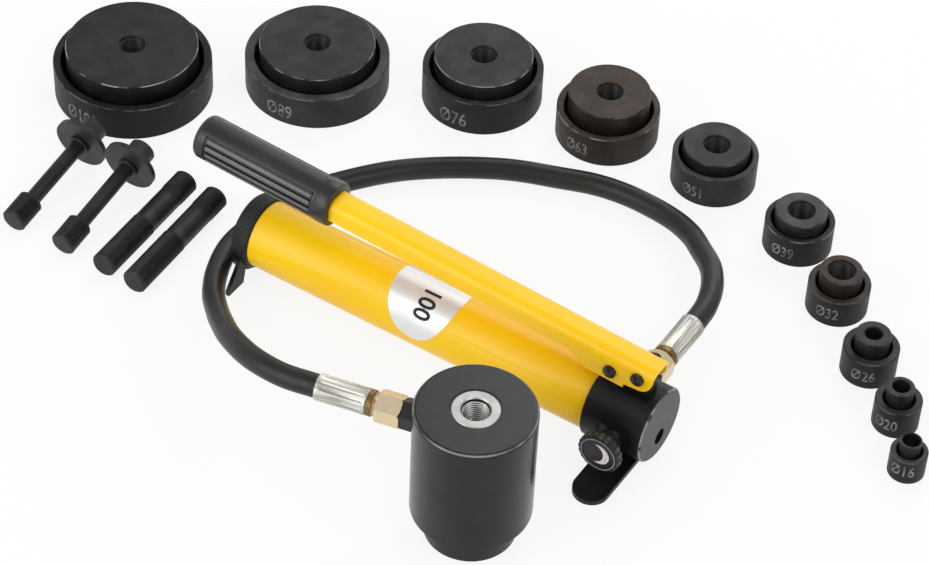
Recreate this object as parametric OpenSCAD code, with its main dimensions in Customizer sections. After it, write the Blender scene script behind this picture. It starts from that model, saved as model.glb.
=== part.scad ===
// Hydraulic hole punch set: hand pump, hose, pull ram, punches in their dies, and draw studs.
// The origin is the centre of the ram's foot on the floor. +X runs along the pump towards its head.

/* [Oil tube] */
// Outside diameter of the oil tube
tube_d = 50; // [46:1:56]
// Wall of the oil tube
tube_wall = 3; // [2:0.5:4]
// Length of the oil tube between cap and head
tube_len = 278; // [240:1:320]
// How far the rear cap stands proud of the tube
cap_lip = 1.5; // [0.5:0.5:3]
// Length of the rear cap outside the tube
cap_len = 14; // [10:1:20]
// Length of the spigots that the cap and the head push into the tube
spigot_len = 14; // [12:1:20]
// Thickness of the sealing rings in the tube
ring_d = 2.4; // [2:0.2:3]

/* [Pump head] */
// How far the head stands proud of the tube
head_lip = 2.5; // [1:0.5:4]
// Length of the head
head_len = 47; // [45:1:56]
// Chamfer round the front face
head_chamfer = 1.5; // [0.5:0.5:3]
// Depth of the flat milled along the top of the head
flat_depth = 1.5; // [1:0.5:3]
// Diameter of the hole in the front face
relief_d = 12; // [10:1:13]
// How far that hole lies below the axis
relief_drop = 10.5; // [9:0.5:12]
// How far the hose outlet lies in front of the rear face
outlet_x = 17; // [15:1:20]

/* [Feet] */
// Thickness of the foot plates
foot_t = 4; // [3:0.5:6]
// Metal left under the head where it sits in its foot
foot_under = 3.5; // [2.5:0.5:5]
// Width of the front foot along the pump
foot_w = 26; // [22:1:32]
// Reach of the front foot from the axis
foot_reach = 65; // [58:1:76]
// Reach of the rear foot from the axis
rear_reach = 42; // [36:1:56]

/* [Lever] */
// How far the fulcrum lies in front of the head's rear face
fulcrum_x = 31.7; // [30:0.1:33]
// Height of the fulcrum above the axis
fulcrum_z = 46.4; // [45:0.1:50]
// Distance along the pump between the two pins
pin_gap = 21; // [20:0.5:22]
// How far the plunger pin lies below the fulcrum at rest
pin_drop = 4.7; // [3:0.1:6]
// Diameter of the pins
pin_d = 6; // [5:0.5:6.5]
// Width of the channel
lever_w = 22; // [20:0.5:26]
// Sheet thickness of the channel
lever_wall = 2.5; // [2:0.1:2.7]
// Outside bend radius along the top
lever_bend = 7.5; // [5:0.5:8.5]
// Height of the top above the fulcrum
lever_top = 9; // [8.2:0.1:12]
// Depth of the arm
arm_depth = 15; // [14:0.1:18]
// Length from the fulcrum to the grip
lever_reach = 250; // [220:5:300]
// Rise of the resting lever towards the grip, in degrees
lever_rise = 3.3; // [1:0.1:5]
// Angle that the lever lifts through, in degrees
lever_lift = 40; // [30:1:45]

/* [Grip] */
// Diameter of the grip
grip_d = 32.4; // [30:0.2:40]
// Length of the grip
grip_len = 114; // [100:1:130]
// Height of the grip's axis above the fulcrum
grip_z = 0.2; // [-1:0.1:3]
// Height of the bar inside the grip
tang_h = 11; // [8:1:13]
// Diameter of the cutter that makes the finger flutes
flute_d = 5; // [4:0.5:6]

/* [Plunger] */
// Diameter of the plunger
plunger_d = 12; // [10:0.5:13]
// Thickness of the plunger's eye
eye_t = 10; // [8:1:11]
// Diameter of the gland's thread
gland_d = 18; // [16:0.5:19]

/* [Release valve] */
// Diameter of the release knob
knob_d = 31.5; // [28:0.5:34]
// Thickness of the release knob
knob_len = 7; // [6:0.5:10]
// How far the knob's screw lies in front of the rear face
knob_x = 25.5; // [24:0.5:28]
// Diameter of the release screw
screw_d = 10; // [8:0.5:11]
// Gap between the knob and the head, which its neck takes up
knob_gap = 13; // [10:0.5:16]

/* [Hose and fittings] */
// Outside diameter of the hose
hose_d = 16.5; // [14:0.5:18]
// Outside diameter of a ferrule
ferrule_d = 18.5; // [17:0.5:21]
// Length of a ferrule
ferrule_len = 40; // [32:1:48]
// Width across the flats of a swivel nut
nut_af = 20; // [19:0.5:24]
// Length of a swivel nut
nut_len = 17.5; // [16:0.5:22]
// Width across the flats of an adaptor
adaptor_af = 19; // [17:0.5:22]
// Length of an adaptor's hexagon
adaptor_len = 9; // [6:0.5:12]
// Diameter of the thread that an adaptor screws in with
port_d = 13; // [12:0.5:14]
// Depth of that thread
port_depth = 8; // [6:0.5:8.5]

/* [Ram] */
// Diameter of the ram's body
ram_d = 82; // [78:1:92]
// Height of the ram with its foot
ram_h = 115; // [105:1:135]
// Diameter of the ram's foot
ram_foot_d = 63; // [62.5:0.5:70]
// Height of the ram's foot
ram_foot_h = 23; // [16:1:30]
// Rounding of the ram's top edge
ram_round = 2.5; // [2:0.5:8]
// Diameter of the cylinder bore
bore_d = 60; // [56:1:61]
// Diameter of the piston rod
rod_d = 32.5; // [31:0.5:37]
// Thickness of the top wall
ram_wall = 14; // [12:0.5:16]
// Thickness of the piston
piston_t = 13; // [10:1:15]
// Travel of the piston
ram_stroke = 22; // [16:1:24]
// How far the hose port lies below the top
port_drop = 24; // [22:0.5:25]
// Direction of the hose port, in degrees from +X
port_angle = 192; // [180:1:205]
// Wire diameter of the return spring
spring_wire = 4.5; // [3.5:0.5:5]
// Mean diameter of the return spring
spring_d = 48; // [44:1:50]
// Turns of the return spring
spring_turns = 3; // [2:0.5:3.5]

/* [Punches and dies] */
// Floor of a die cup
die_floor = 7; // [5:0.5:9]
// Radial gap between a punch and its die, before the share below
cup_gap = 0.6; // [0.5:0.1:1.5]
// Share of the punch diameter that is added to that gap
cup_share = 0.025; // [0.01:0.005:0.03]
// Height of the cutting band on a punch
band_h = 8; // [5:0.5:10]
// How far a punch steps in above its cutting band
band_step = 0.5; // [0.3:0.1:1]
// Chamfer on the edges of punches and dies
edge = 0.8; // [0.4:0.1:1]

/* [Draw studs] */
// Diameter of the large thread
thread_d = 19; // [17:0.5:20]
// Length of a large stud
stud_len = 106; // [95:1:120]
// Length of its long thread
stud_long = 51; // [40:1:55]
// Length of its short thread
stud_short = 19; // [14:1:24]
// Diameter of the rod of a small stud
small_d = 11.5; // [10:0.5:12]
// Length of the threaded head of a small stud
small_head = 23; // [18:1:28]
// Distance from the end of that head to the disc of the collar
small_len = 85; // [75:1:95]
// Diameter of the collar's disc
disc_d = 42; // [36:1:48]
// Thickness of the collar's disc
disc_t = 3.5; // [2.5:0.5:5]
// Diameter of the collar's hub
hub_d = 20; // [17:1:24]
// Length of the collar's hub
hub_len = 16; // [12:1:20]

/* [Clearances] */
// Radial clearance of a running or push fit
fit = 0.05; // [0.03:0.01:0.08]
// Radial clearance round a thread
thread_slack = 0.2; // [0.1:0.05:0.3]
// Clearance between parts that only lie together
loose = 0.3; // [0.2:0.05:0.5]
// Clearance of the plunger pin in its slot
slot_slack = 0.4; // [0.3:0.05:0.6]

/* [Hidden] */
$fn = 64;
cut = 1;

// Place of the pump: its tube starts at pump_x and its axis runs at pump_y.
pump_x = -254;
pump_y = 125;

// Each set: punch diameter, die diameter, die height, height of the punch's top, place on the floor.
sets = [
    [101, 120, 29, 43, -450, 224],
    [89, 110, 28, 39, -340, 310],
    [76, 92, 30, 41, -228, 369],
    [63, 78, 26, 41, -128, 388],
    [51, 64, 27, 35, -36, 389],
    [39, 51, 25, 34, 49, 364],
    [32, 45, 24, 36, 103, 324],
    [26, 40, 24, 36, 151, 281],
    [20, 33, 24, 36, 190, 247],
    [16, 26, 21, 31, 217, 211],
];

// Punches from this diameter up take the large thread, and smaller ones the small rod.
large_from = 30;

// Places of the studs' threaded ends, and the direction that they point in.
stud_places = [[-344, 49], [-316, 48]];
small_places = [[-425, 48], [-381, 49]];
stud_yaw = 92.5;

// Hand-laid route of the hose between its two straight ends, from the pump round to the ram.
hose_route = [
    [39.5, 242, 30.5],
    [33, 262, 29.5],
    [21, 281.5, 26],
    [4, 298, 21],
    [-12.5, 312, 16.5],
    [-35, 322.5, 12.5],
    [-68.5, 327.5, 10],
    [-98, 325, 9],
    [-127, 315.5, 8.5],
    [-162, 301.5, 8.5],
    [-198.5, 278.5, 8.5],
    [-230.5, 251, 8.5],
    [-257, 216.5, 8.5],
    [-272, 188.5, 8.5],
    [-281, 142.5, 9.5],
    [-279.5, 112.5, 13],
    [-268.5, 83.5, 18.5],
    [-252.5, 58, 27.5],
    [-233, 35.5, 41.5],
    [-212, 13.5, 59],
    [-188.5, -7.5, 75.5],
    [-161, -22, 85.5],
    [-134, -26.5, 89.5],
];
hose_sides = 12;
hose_steps = 3;
// Straight lengths of hose behind each ferrule
pump_straight = 6;
ram_straight = 6;

tube_bore = tube_d - 2 * tube_wall;
cap_d = tube_d + 2 * cap_lip;
head_d = tube_d + 2 * head_lip;
head_r = head_d / 2;
axis_h = head_r + foot_under;
spigot_r = tube_bore / 2 - fit;
groove_x = spigot_len / 2;
groove_depth = ring_d;
head_x = tube_len;
front_x = head_x + head_len;
flat_z = head_r - flat_depth;
relief_depth = 14;

// Pump bores, from the axis: plunger, gland, valves and their balls.
plunger_x = fulcrum_x - pin_gap;
plunger_foot = -2;
valve_floor = -12;
suction_z = -15;
passage_d = 5;
ball_d = 8;
ball_bore = ball_d + 2 * loose;
gland_floor = 13;
seal_h = 6;
gland_neck_d = 15.5;
gland_neck_h = 3;
outlet_y = head_r - 1.5;
outlet_seat = 9;
release_y = -(head_r - 1);
release_seat = -5;
release_floor = release_seat - ball_d - 2 * loose;
spotface_d = 25;
knob_wall = 4;
// Drillings that lead oil past the release ball: in from the outlet and back to the tube
drill_d = 4;
release_from = 15;
return_y = release_seat - 3.8;

// Pins, in the frame of the lever: X along the arm, Z up, origin at the fulcrum.
plunger_pin = [
    -pin_gap * cos(lever_rise) + pin_drop * sin(lever_rise),
    -pin_gap * sin(lever_rise) - pin_drop * cos(lever_rise),
];
pin_arm = norm([pin_gap, pin_drop]);
pin_dip = asin(pin_drop / pin_arm);
slot_back = pin_gap - pin_arm;
slot_front = pin_gap - pin_arm * cos(lever_lift - pin_dip);
pin_head_d = 1.6 * pin_d;
pin_head_h = 3.5;
clip_t = 1.2;
clip_d = 1.6 * pin_d;
clip_neck = 0.8 * pin_d;
eye_r = 8.5;
eye_z = fulcrum_z - pin_drop;
post_w = 14;
post_t = 10;
post_eye = 5.2;
post_stub_d = 10;
post_stub = 9;
nose = 11.5;
nose_r = 10.5;
ear_len = 40;
ear_blend = 13;
ear_drop = 15.2;
notch_x = -10;
notch_h = 3.4;
grip_solid = 24;
tang_len = grip_len - grip_solid;
tang_root = 24;
tang_w = lever_w - 2 * lever_bend + 4;
tang_z = lever_top - lever_wall - tang_h / 2;

// Hose ends, measured outwards from the seat of the adaptor.
stem_d = 10;
spigot_d = 14;
spigot_len_u = 8;
spigot_u = adaptor_len + spigot_len_u;
nut_u = adaptor_len + loose;
nut_end = nut_u + nut_len;
collar_u = nut_end + loose;
collar_t = 2.5;
ferrule_u = collar_u + collar_t;
hose_u = ferrule_u + ferrule_len;
barb_d = 8.6;
stem_bore = 5;
seat_d = spigot_d - 2;

// Heights in the ram
ram_r = ram_d / 2;
ram_seat = ram_r - 1;
chamber_top = ram_h - ram_wall;
oil_gap = 4;
shoulder_d = 52;
shoulder_h = 9;
piston_top = chamber_top - oil_gap - shoulder_h;
piston_bottom = piston_top - piston_t;
boss_h = 4;
boss_d = 34;
base_plug = 12;
base_top = ram_foot_h + base_plug;
thread_depth = 30;
countersink = 0.8;
port_z = ram_h - port_drop;
seal_w = 4;
rod_seal_drop = 10.5;
rod_seal_z = ram_h - rod_seal_drop;
wiper_h = 3;
wiper_w = 1.2;

// Lean of a small stud that lies on its head and on its disc
small_lean = atan((disc_d - thread_d) / 2 / small_len);
hub_floor = 4;

// Shared shapes

module x_rod(d, x0, x1) {
    translate([x0, 0, 0]) rotate([0, 90, 0]) cylinder(d = d, h = x1 - x0);
}

module y_rod(d, y0, y1) {
    translate([0, y0, 0]) rotate([-90, 0, 0]) cylinder(d = d, h = y1 - y0);
}

module z_rod(d, z0, z1) {
    translate([0, 0, z0]) cylinder(d = d, h = z1 - z0);
}

// A shape turned about X from a profile of radius and length
module x_turn() {
    rotate([0, 90, 0]) rotate_extrude() children();
}

module z_ring(r0, r1, z0, z1) {
    difference() {
        z_rod(2 * r1, z0, z1);
        z_rod(2 * r0, z0 - cut, z1 + cut);
    }
}

module hexagon(af, h) {
    cylinder(d = af / cos(30), h = h, $fn = 6);
}

module at_pump() {
    translate([pump_x, pump_y, axis_h]) children();
}

module at_head() {
    at_pump() translate([head_x, 0, 0]) children();
}

module at_plunger() {
    at_head() translate([plunger_x, 0, 0]) children();
}

module at_fulcrum() {
    at_head() translate([fulcrum_x, 0, fulcrum_z]) children();
}

module at_lever() {
    at_fulcrum() rotate([0, lever_rise, 0]) children();
}

module at_plunger_pin() {
    at_lever() translate([plunger_pin[0], 0, plunger_pin[1]]) children();
}

// Outlet and ram port: X runs outwards from the seat of the adaptor.
module at_outlet() {
    at_head() translate([outlet_x, outlet_y, 0]) rotate([0, 0, 90]) children();
}

module at_port() {
    rotate([0, 0, port_angle]) translate([ram_seat, 0, port_z]) children();
}

module at_both_ends() {
    at_outlet() children();
    at_port() children();
}

// Points on a smooth curve through a list of points
function curve_point(p, i, f) =
    let (
        n = len(p),
        a = p[max(i - 1, 0)],
        b = p[i],
        c = p[min(i + 1, n - 1)],
        d = p[min(i + 2, n - 1)]
    )
    0.5 * (2 * b + (c - a) * f + (2 * a - 5 * b + 4 * c - d) * f * f + (3 * b - a - 3 * c + d) * f * f * f);

function curve(p, steps) = concat(
    [for (i = [0 : len(p) - 2]) for (k = [0 : steps - 1]) curve_point(p, i, k / steps)],
    [p[len(p) - 1]]
);

function unit(v) = v / norm(v);

function heading(p, i) = unit(p[min(i + 1, len(p) - 1)] - p[max(i - 1, 0)]);

// A closed round tube along a list of points, with its first and last rings square to the given headings
module sweep_tube(p, d, sides, first, last) {
    n = len(p);
    rings = [
        for (i = [0 : n - 1])
            let (
                t = i == 0 ? first : i == n - 1 ? last : heading(p, i),
                s = unit(cross([0, 0, 1], t)),
                u = cross(t, s)
            )
            [for (k = [0 : sides - 1]) p[i] + d / 2 * (cos(360 * k / sides) * s + sin(360 * k / sides) * u)]
    ];
    points = [for (r = rings) for (q = r) q];
    walls = [
        for (i = [0 : n - 2]) for (k = [0 : sides - 1])
            let (a = i * sides + k, b = i * sides + (k + 1) % sides)
            each [[a, a + sides, b + sides], [a, b + sides, b]]
    ];
    start = [for (k = [1 : sides - 2]) [0, k, k + 1]];
    end = [for (k = [1 : sides - 2]) [(n - 1) * sides, (n - 1) * sides + k + 1, (n - 1) * sides + k]];
    polyhedron(points = points, faces = concat(walls, start, end), convexity = 10);
}

// Coil springs stand on Z: a steady helix of 8 rings to a turn, with 6 sides.
coil_rings = 8;

function coil_points(d, wire, height, turns) = [
    for (i = [0 : turns * coil_rings])
        let (a = 360 * i / coil_rings)
        [d / 2 * cos(a), d / 2 * sin(a), wire / 2 + (height - wire) * i / (turns * coil_rings)]
];

module coil(d, wire, height, turns) {
    p = coil_points(d, wire, height, turns);
    sweep_tube(p, wire, 6, heading(p, 1), heading(p, len(p) - 2));
}

// Tube, cap and feet

module reservoir_tube() {
    color("gold") at_pump() difference() {
        x_rod(tube_d, 0, tube_len);
        x_rod(tube_bore, -cut, tube_len + cut);
    }
}

module ring_groove(x) {
    translate([x, 0, 0]) difference() {
        x_rod(2 * spigot_r + cut, -ring_d / 2 - fit, ring_d / 2 + fit);
        x_rod(2 * (spigot_r - groove_depth), -ring_d, ring_d);
    }
}

module tube_ring(x) {
    translate([x, 0, 0]) x_turn() translate([spigot_r - ring_d / 2, 0]) circle(d = ring_d - fit);
}

module rear_cap() {
    r = cap_d / 2;
    c = 1.5;
    color("dimgray") at_pump() difference() {
        x_turn() polygon([
            [0, -cap_len], [r - c, -cap_len], [r, c - cap_len], [r, -c / 2], [r - c / 2, 0],
            [spigot_r, 0], [spigot_r, spigot_len], [0, spigot_len]
        ]);
        ring_groove(groove_x);
    }
}

module cap_seal() {
    color("black") at_pump() tube_ring(groove_x);
}

module head_seal() {
    color("black") at_head() tube_ring(-groove_x);
}

// The front foot is a round-ended tab that the head sits in.
module front_foot() {
    tab_r = foot_w / 2;
    inner = 22;
    set_back = 8;
    color("dimgray") at_head() difference() {
        translate([head_len - foot_w / 2 - set_back, 0, -axis_h]) linear_extrude(foot_t) union() {
            translate([-tab_r, tab_r - foot_reach]) square([foot_w, foot_reach - tab_r + inner]);
            translate([0, tab_r - foot_reach]) circle(r = tab_r);
        }
        x_rod(head_d + 2 * fit, -cut, head_len + cut);
    }
}

// The rear foot is an upright plate with two splayed legs, and a ring behind it that carries the cap.
module rear_foot() {
    r = cap_d / 2;
    front = -4;
    plate_t = 3;
    ring_inset = 3;
    ring_from = ring_inset - cap_len;
    ring_r = r + foot_under;
    knee_drop = 7;
    knee = axis_h - knee_drop;
    leg_in = r - 2;
    splay = 4;
    color("dimgray") at_pump() difference() {
        union() {
            for (s = [-1, 1]) translate([front - plate_t, 0, -axis_h]) rotate([90, 0, 90])
                linear_extrude(plate_t) polygon([
                    [s * leg_in, 0], [s * rear_reach, 0], [s * rear_reach, foot_t], [s * r, knee],
                    [s * (leg_in - splay), knee], [s * (leg_in - splay), axis_h / 2]
                ]);
            intersection() {
                x_rod(2 * ring_r, ring_from, front - plate_t / 2);
                translate([ring_from - cut, -ring_r, -axis_h]) cube([cap_len, 2 * ring_r, knee]);
            }
        }
        x_rod(cap_d + 2 * fit, -cap_len - cut, cut);
    }
}

// Pump head and its valves

module pump_head() {
    r = head_r;
    c = head_chamfer;
    color("dimgray") at_head() difference() {
        x_turn() polygon([
            [0, -spigot_len], [spigot_r, -spigot_len], [spigot_r, 0], [r, 0],
            [r, head_len - c], [r - c, head_len], [0, head_len]
        ]);
        ring_groove(-groove_x);
        translate([-cut, -head_r, flat_z]) cube([head_len + 2 * cut, head_d, head_r]);
        translate([plunger_x, 0, 0]) {
            z_rod(passage_d, suction_z, 0);
            z_rod(ball_bore, valve_floor, 0);
            z_rod(plunger_d + 2 * fit, valve_floor + ball_d + 1, head_r);
            z_rod(gland_d, gland_floor, head_d);
        }
        translate([0, 0, suction_z]) x_rod(passage_d, -spigot_len - cut, plunger_x);
        translate([fulcrum_x, 0, 0]) z_rod(post_stub_d + 2 * fit, flat_z - post_stub - loose, head_d);
        translate([outlet_x, 0, 0]) {
            y_rod(spotface_d, outlet_y, head_d);
            y_rod(port_d + 2 * fit, outlet_y - port_depth - loose, head_d);
            y_rod(ball_bore, outlet_seat, outlet_y);
            y_rod(passage_d, 0, outlet_seat + cut);
        }
        translate([knob_x, 0, 0]) {
            y_rod(spotface_d, -head_d, release_y);
            y_rod(screw_d + 2 * fit, -head_d, release_floor);
            y_rod(ball_bore, release_floor - cut, release_seat);
            y_rod(passage_d, release_seat - cut, passage_d);
        }
        translate([0, 0, -relief_drop]) x_rod(relief_d, head_len - relief_depth, head_len + cut);
        translate([outlet_x, release_from, 0]) rotate([0, 0, atan2(-release_from, knob_x - outlet_x)])
            x_rod(drill_d, 0, norm([knob_x - outlet_x, release_from]));
        translate([0, return_y, 0]) x_rod(drill_d, -spigot_len - cut, knob_x);
    }
}

// Screwed plug with a hexagon socket, sunk in the front face
module relief_plug() {
    sunk = 3;
    socket = 5;
    color("black") at_head() translate([0, 0, -relief_drop]) difference() {
        x_rod(relief_d - 2 * fit, head_len - relief_depth, head_len - sunk);
        translate([head_len - sunk - socket, 0, 0]) rotate([0, 90, 0]) hexagon(relief_d / 2, socket + cut);
    }
}

// Gauze thimble on a short pipe in the suction bore, inside the tube
module suction_strainer() {
    thimble_d = 10;
    thimble_len = 24;
    pipe = 8;
    x = -spigot_len;
    color("silver") at_head() translate([0, 0, suction_z]) difference() {
        union() {
            x_rod(passage_d - 2 * fit, x - cut, x + pipe);
            x_rod(thimble_d, x - thimble_len, x);
        }
        x_rod(passage_d - 2, x - thimble_len + 2, x + pipe + cut);
    }
}

module check_balls() {
    r = ball_d / 2;
    color("silver") at_head() {
        translate([plunger_x, 0, valve_floor + r + loose]) sphere(r);
        translate([outlet_x, outlet_seat + r + loose, 0]) sphere(r);
        translate([knob_x, release_seat - r - loose, 0]) sphere(r);
    }
}

// Spring behind the outlet ball, held by the adaptor
module check_spring() {
    seat = outlet_seat + ball_d + 2 * loose;
    color("silver") at_head() translate([outlet_x, seat, 0]) rotate([-90, 0, 0])
        coil(5, 0.8, outlet_y - port_depth + 5 - seat, 3);
}

module plunger_seal() {
    color("seagreen") at_plunger()
        z_ring(plunger_d / 2 + fit, gland_d / 2 - fit, gland_floor + fit, gland_floor + seal_h);
}

// Screwed gland with a plain neck
module gland_nut() {
    top = flat_z + 1.5;
    color("silver") at_plunger() difference() {
        union() {
            z_rod(gland_d - 2 * fit, gland_floor + seal_h + fit, top);
            z_rod(gland_neck_d, top, top + gland_neck_h);
        }
        z_rod(plunger_d + 2 * fit, 0, head_d);
    }
}

// Plunger with a flat slotted eye, which lets the lever's pin swing along its arc
module plunger() {
    slot_d = pin_d + 2 * slot_slack;
    neck = eye_z - eye_r;
    color("silver") at_plunger() difference() {
        union() {
            z_rod(plunger_d, plunger_foot, neck + 2);
            translate([-eye_r, -eye_t / 2, neck]) cube([2 * eye_r, eye_t, eye_r]);
            translate([0, 0, eye_z]) y_rod(2 * eye_r, -eye_t / 2, eye_t / 2);
        }
        translate([0, 0, eye_z]) {
            translate([slot_back, 0, 0]) y_rod(slot_d, -eye_t, eye_t);
            translate([slot_front, 0, 0]) y_rod(slot_d, -eye_t, eye_t);
            translate([slot_back, -eye_t, -slot_d / 2]) cube([slot_front - slot_back, 2 * eye_t, slot_d]);
        }
    }
}

// Lever, its pins and its grip

module fulcrum_post() {
    shoulder = -8;
    waist = post_eye * 0.9;
    color("silver") at_head() translate([fulcrum_x, 0, 0]) difference() {
        union() {
            z_rod(post_stub_d, flat_z - post_stub, flat_z + 1);
            translate([0, 0, fulcrum_z]) rotate([90, 0, 0]) linear_extrude(post_t, center = true) union() {
                circle(r = post_eye);
                polygon([
                    [-post_w / 2, flat_z - fulcrum_z], [post_w / 2, flat_z - fulcrum_z], [post_w / 2, shoulder],
                    [waist, 0], [-waist, 0], [-post_w / 2, shoulder]
                ]);
            }
        }
        translate([0, 0, fulcrum_z]) y_rod(pin_d + 2 * fit, -post_t, post_t);
    }
}

// Domed pin: its head is on the knob's side and a clip holds the other end.
module lever_pin() {
    side = lever_w / 2;
    tail = side + clip_t + 2.5;
    difference() {
        union() {
            y_rod(pin_d, -side, tail);
            translate([0, -side, 0]) rotate([90, 0, 0]) rotate_extrude() intersection() {
                square([pin_head_d, pin_head_h]);
                translate([0, pin_head_h - pin_head_d]) circle(r = pin_head_d);
                square([pin_head_d / 2, pin_head_h]);
            }
        }
        difference() {
            y_rod(pin_d + cut, side + loose, side + loose + clip_t + 2 * fit);
            y_rod(clip_neck, side, tail);
        }
    }
}

module fulcrum_pin() {
    color("black") at_lever() lever_pin();
}

module plunger_pin() {
    color("black") at_plunger_pin() lever_pin();
}

// Open clips that snap into the grooves of the pins
module pin_clip() {
    y = lever_w / 2 + loose + fit;
    difference() {
        y_rod(clip_d, y, y + clip_t);
        y_rod(clip_neck + 2 * fit, y - cut, y + clip_t + cut);
        translate([-clip_neck * 0.35, y - cut, -clip_d]) cube([clip_neck * 0.7, clip_t + 2 * cut, clip_d]);
    }
}

module pin_clips() {
    color("black") {
        at_lever() pin_clip();
        at_plunger_pin() pin_clip();
    }
}

// Side view of the channel: a straight arm that deepens into two ears round the pins
module lever_side() {
    low = lever_top - arm_depth;
    polygon([
        [nose, lever_top], [-lever_reach, lever_top], [-lever_reach, low], [-ear_len - ear_blend, low],
        [-ear_len, -ear_drop], [notch_x, -ear_drop], [notch_x, notch_h - ear_drop],
        [0, -nose_r], [nose_r, 0]
    ]);
    circle(r = nose_r);
}

// End view of the channel, bent round along both top edges. The inset gives the hollow inside it.
module lever_end(inset) {
    half = lever_w / 2 - inset;
    top = lever_top - inset;
    bend = lever_bend - inset;
    deep = 3 * ear_drop;
    translate([-half, -deep]) square([2 * half, deep + top - bend]);
    translate([bend - half, -deep]) square([2 * (half - bend), deep + top]);
    for (s = [-1, 1]) translate([s * (half - bend), top - bend]) circle(r = bend);
}

module lever_run(inset) {
    translate([-lever_reach - cut, 0, 0]) rotate([90, 0, 90])
        linear_extrude(lever_reach + nose + 2 * cut) lever_end(inset);
}

module lever() {
    color("gold") at_lever() union() {
        difference() {
            intersection() {
                rotate([90, 0, 0]) linear_extrude(2 * lever_w, center = true) lever_side();
                lever_run(0);
            }
            lever_run(lever_wall);
            y_rod(pin_d + 2 * fit, -lever_w, lever_w);
            translate([plunger_pin[0], 0, plunger_pin[1]]) y_rod(pin_d + 2 * fit, -lever_w, lever_w);
        }
        translate([-lever_reach, -tang_w / 2, tang_z - tang_h / 2])
            cube([tang_root, tang_w, tang_h + lever_wall / 2]);
        translate([-lever_reach - tang_len, -tang_w / 2, tang_z - tang_h / 2])
            cube([tang_len + cut, tang_w, tang_h]);
    }
}

// Moulded grip: collars at both ends, a smooth top and finger flutes along both sides
module grip() {
    r = grip_d / 2;
    round_end = 5;
    collar = 9;
    lip = 0.4;
    flute_angles = [58, 80, 102, 124];
    color("dimgray") at_lever() translate([-lever_reach - grip_len, 0, grip_z]) difference() {
        union() {
            x_turn() union() {
                square([r - round_end, grip_len]);
                translate([0, round_end]) square([r, grip_len - round_end]);
                translate([r - round_end, round_end]) circle(r = round_end);
            }
            x_rod(grip_d + 2 * lip, grip_len - collar, grip_len - 2);
        }
        for (a = flute_angles) for (s = [-1, 1])
            rotate([s * a, 0, 0]) translate([0, 0, r + flute_d * 0.2])
                x_rod(flute_d, collar + 4, grip_len - collar - 6);
        translate([grip_len - tang_len - loose, -tang_w / 2 - fit, tang_z - grip_z - tang_h / 2 - fit])
            cube([tang_len + loose + cut, tang_w + 2 * fit, tang_h + 2 * fit]);
    }
}

// Release valve

module release_knob() {
    inner = release_y - knob_gap;
    face = inner - knob_len;
    edge = 1.2;
    rim = 3.2;
    recess = 0.5;
    neck_clear = 3;
    lobes = 20;
    scallop_d = 4;
    scallop_in = 0.7;
    color("black") at_head() translate([knob_x, 0, 0]) difference() {
        union() {
            translate([0, inner, 0]) rotate([90, 0, 0]) rotate_extrude() polygon([
                [0, 0], [knob_d / 2 - edge, 0], [knob_d / 2, edge], [knob_d / 2, knob_len - edge],
                [knob_d / 2 - edge, knob_len], [0, knob_len]
            ]);
            y_rod(screw_d + 6, inner - cut, release_y - neck_clear);
        }
        for (i = [0 : lobes - 1]) rotate([0, 360 * i / lobes, 0])
            translate([knob_d / 2 + scallop_d / 2 - scallop_in, 0, 0])
                y_rod(scallop_d, face - cut, inner + cut);
        y_rod(knob_d - 2 * rim, face - cut, face + recess);
        y_rod(screw_d + 2 * fit, face + knob_wall, 0);
    }
}

// Screw with a coned tip that presses the release ball on its seat
module release_screw() {
    tail = release_y - knob_gap - knob_len + knob_wall + loose;
    tip = release_floor - loose;
    cone = screw_d / 2;
    color("silver") at_head() translate([knob_x, tip, 0]) rotate([90, 0, 0]) rotate_extrude()
        polygon([[0, 0], [1.5, 0], [screw_d / 2, cone], [screw_d / 2, tip - tail], [0, tip - tail]]);
}

// Hose ends: hexagon adaptor, swivel nut, nipple and crimped ferrule

module adaptor() {
    difference() {
        union() {
            x_rod(port_d, -port_depth, cut);
            rotate([0, 90, 0]) hexagon(adaptor_af, adaptor_len);
            x_rod(spigot_d, adaptor_len - cut, spigot_u);
        }
        x_rod(stem_bore, -port_depth - cut, spigot_u + cut);
        x_rod(stem_bore + 2, -port_depth - cut, 5 - port_depth);
    }
}

module outlet_adaptor() {
    color("dimgray") at_outlet() adaptor();
}

module ram_adaptor() {
    color("dimgray") at_port() adaptor();
}

module swivel_nuts() {
    head_u = spigot_u + 5;
    color("darkgoldenrod") at_both_ends() difference() {
        intersection() {
            translate([nut_u, 0, 0]) rotate([0, 90, 0]) hexagon(nut_af, nut_len);
            translate([nut_u, 0, 0]) x_turn() polygon([
                [0, 0], [nut_af * 0.52, 0], [nut_af * 0.58, 1.2], [nut_af * 0.58, nut_len - 1.2],
                [nut_af * 0.52, nut_len], [0, nut_len]
            ]);
        }
        x_rod(spigot_d + 2 * fit, 0, spigot_u + loose);
        x_rod(seat_d + 2 * fit, 0, head_u);
        x_rod(stem_d + 2 * fit, 0, nut_end + cut);
    }
}

module hose_nipples() {
    color("silver") at_both_ends() difference() {
        union() {
            x_rod(seat_d, spigot_u + fit, spigot_u + 5 - fit);
            x_rod(stem_d, spigot_u + 5 - cut, collar_u + cut);
            x_rod(ferrule_d - 2.5, collar_u, collar_u + collar_t - fit);
            x_rod(barb_d, collar_u + cut, hose_u - fit);
        }
        x_rod(stem_bore, spigot_u - cut, hose_u + cut);
    }
}

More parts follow.
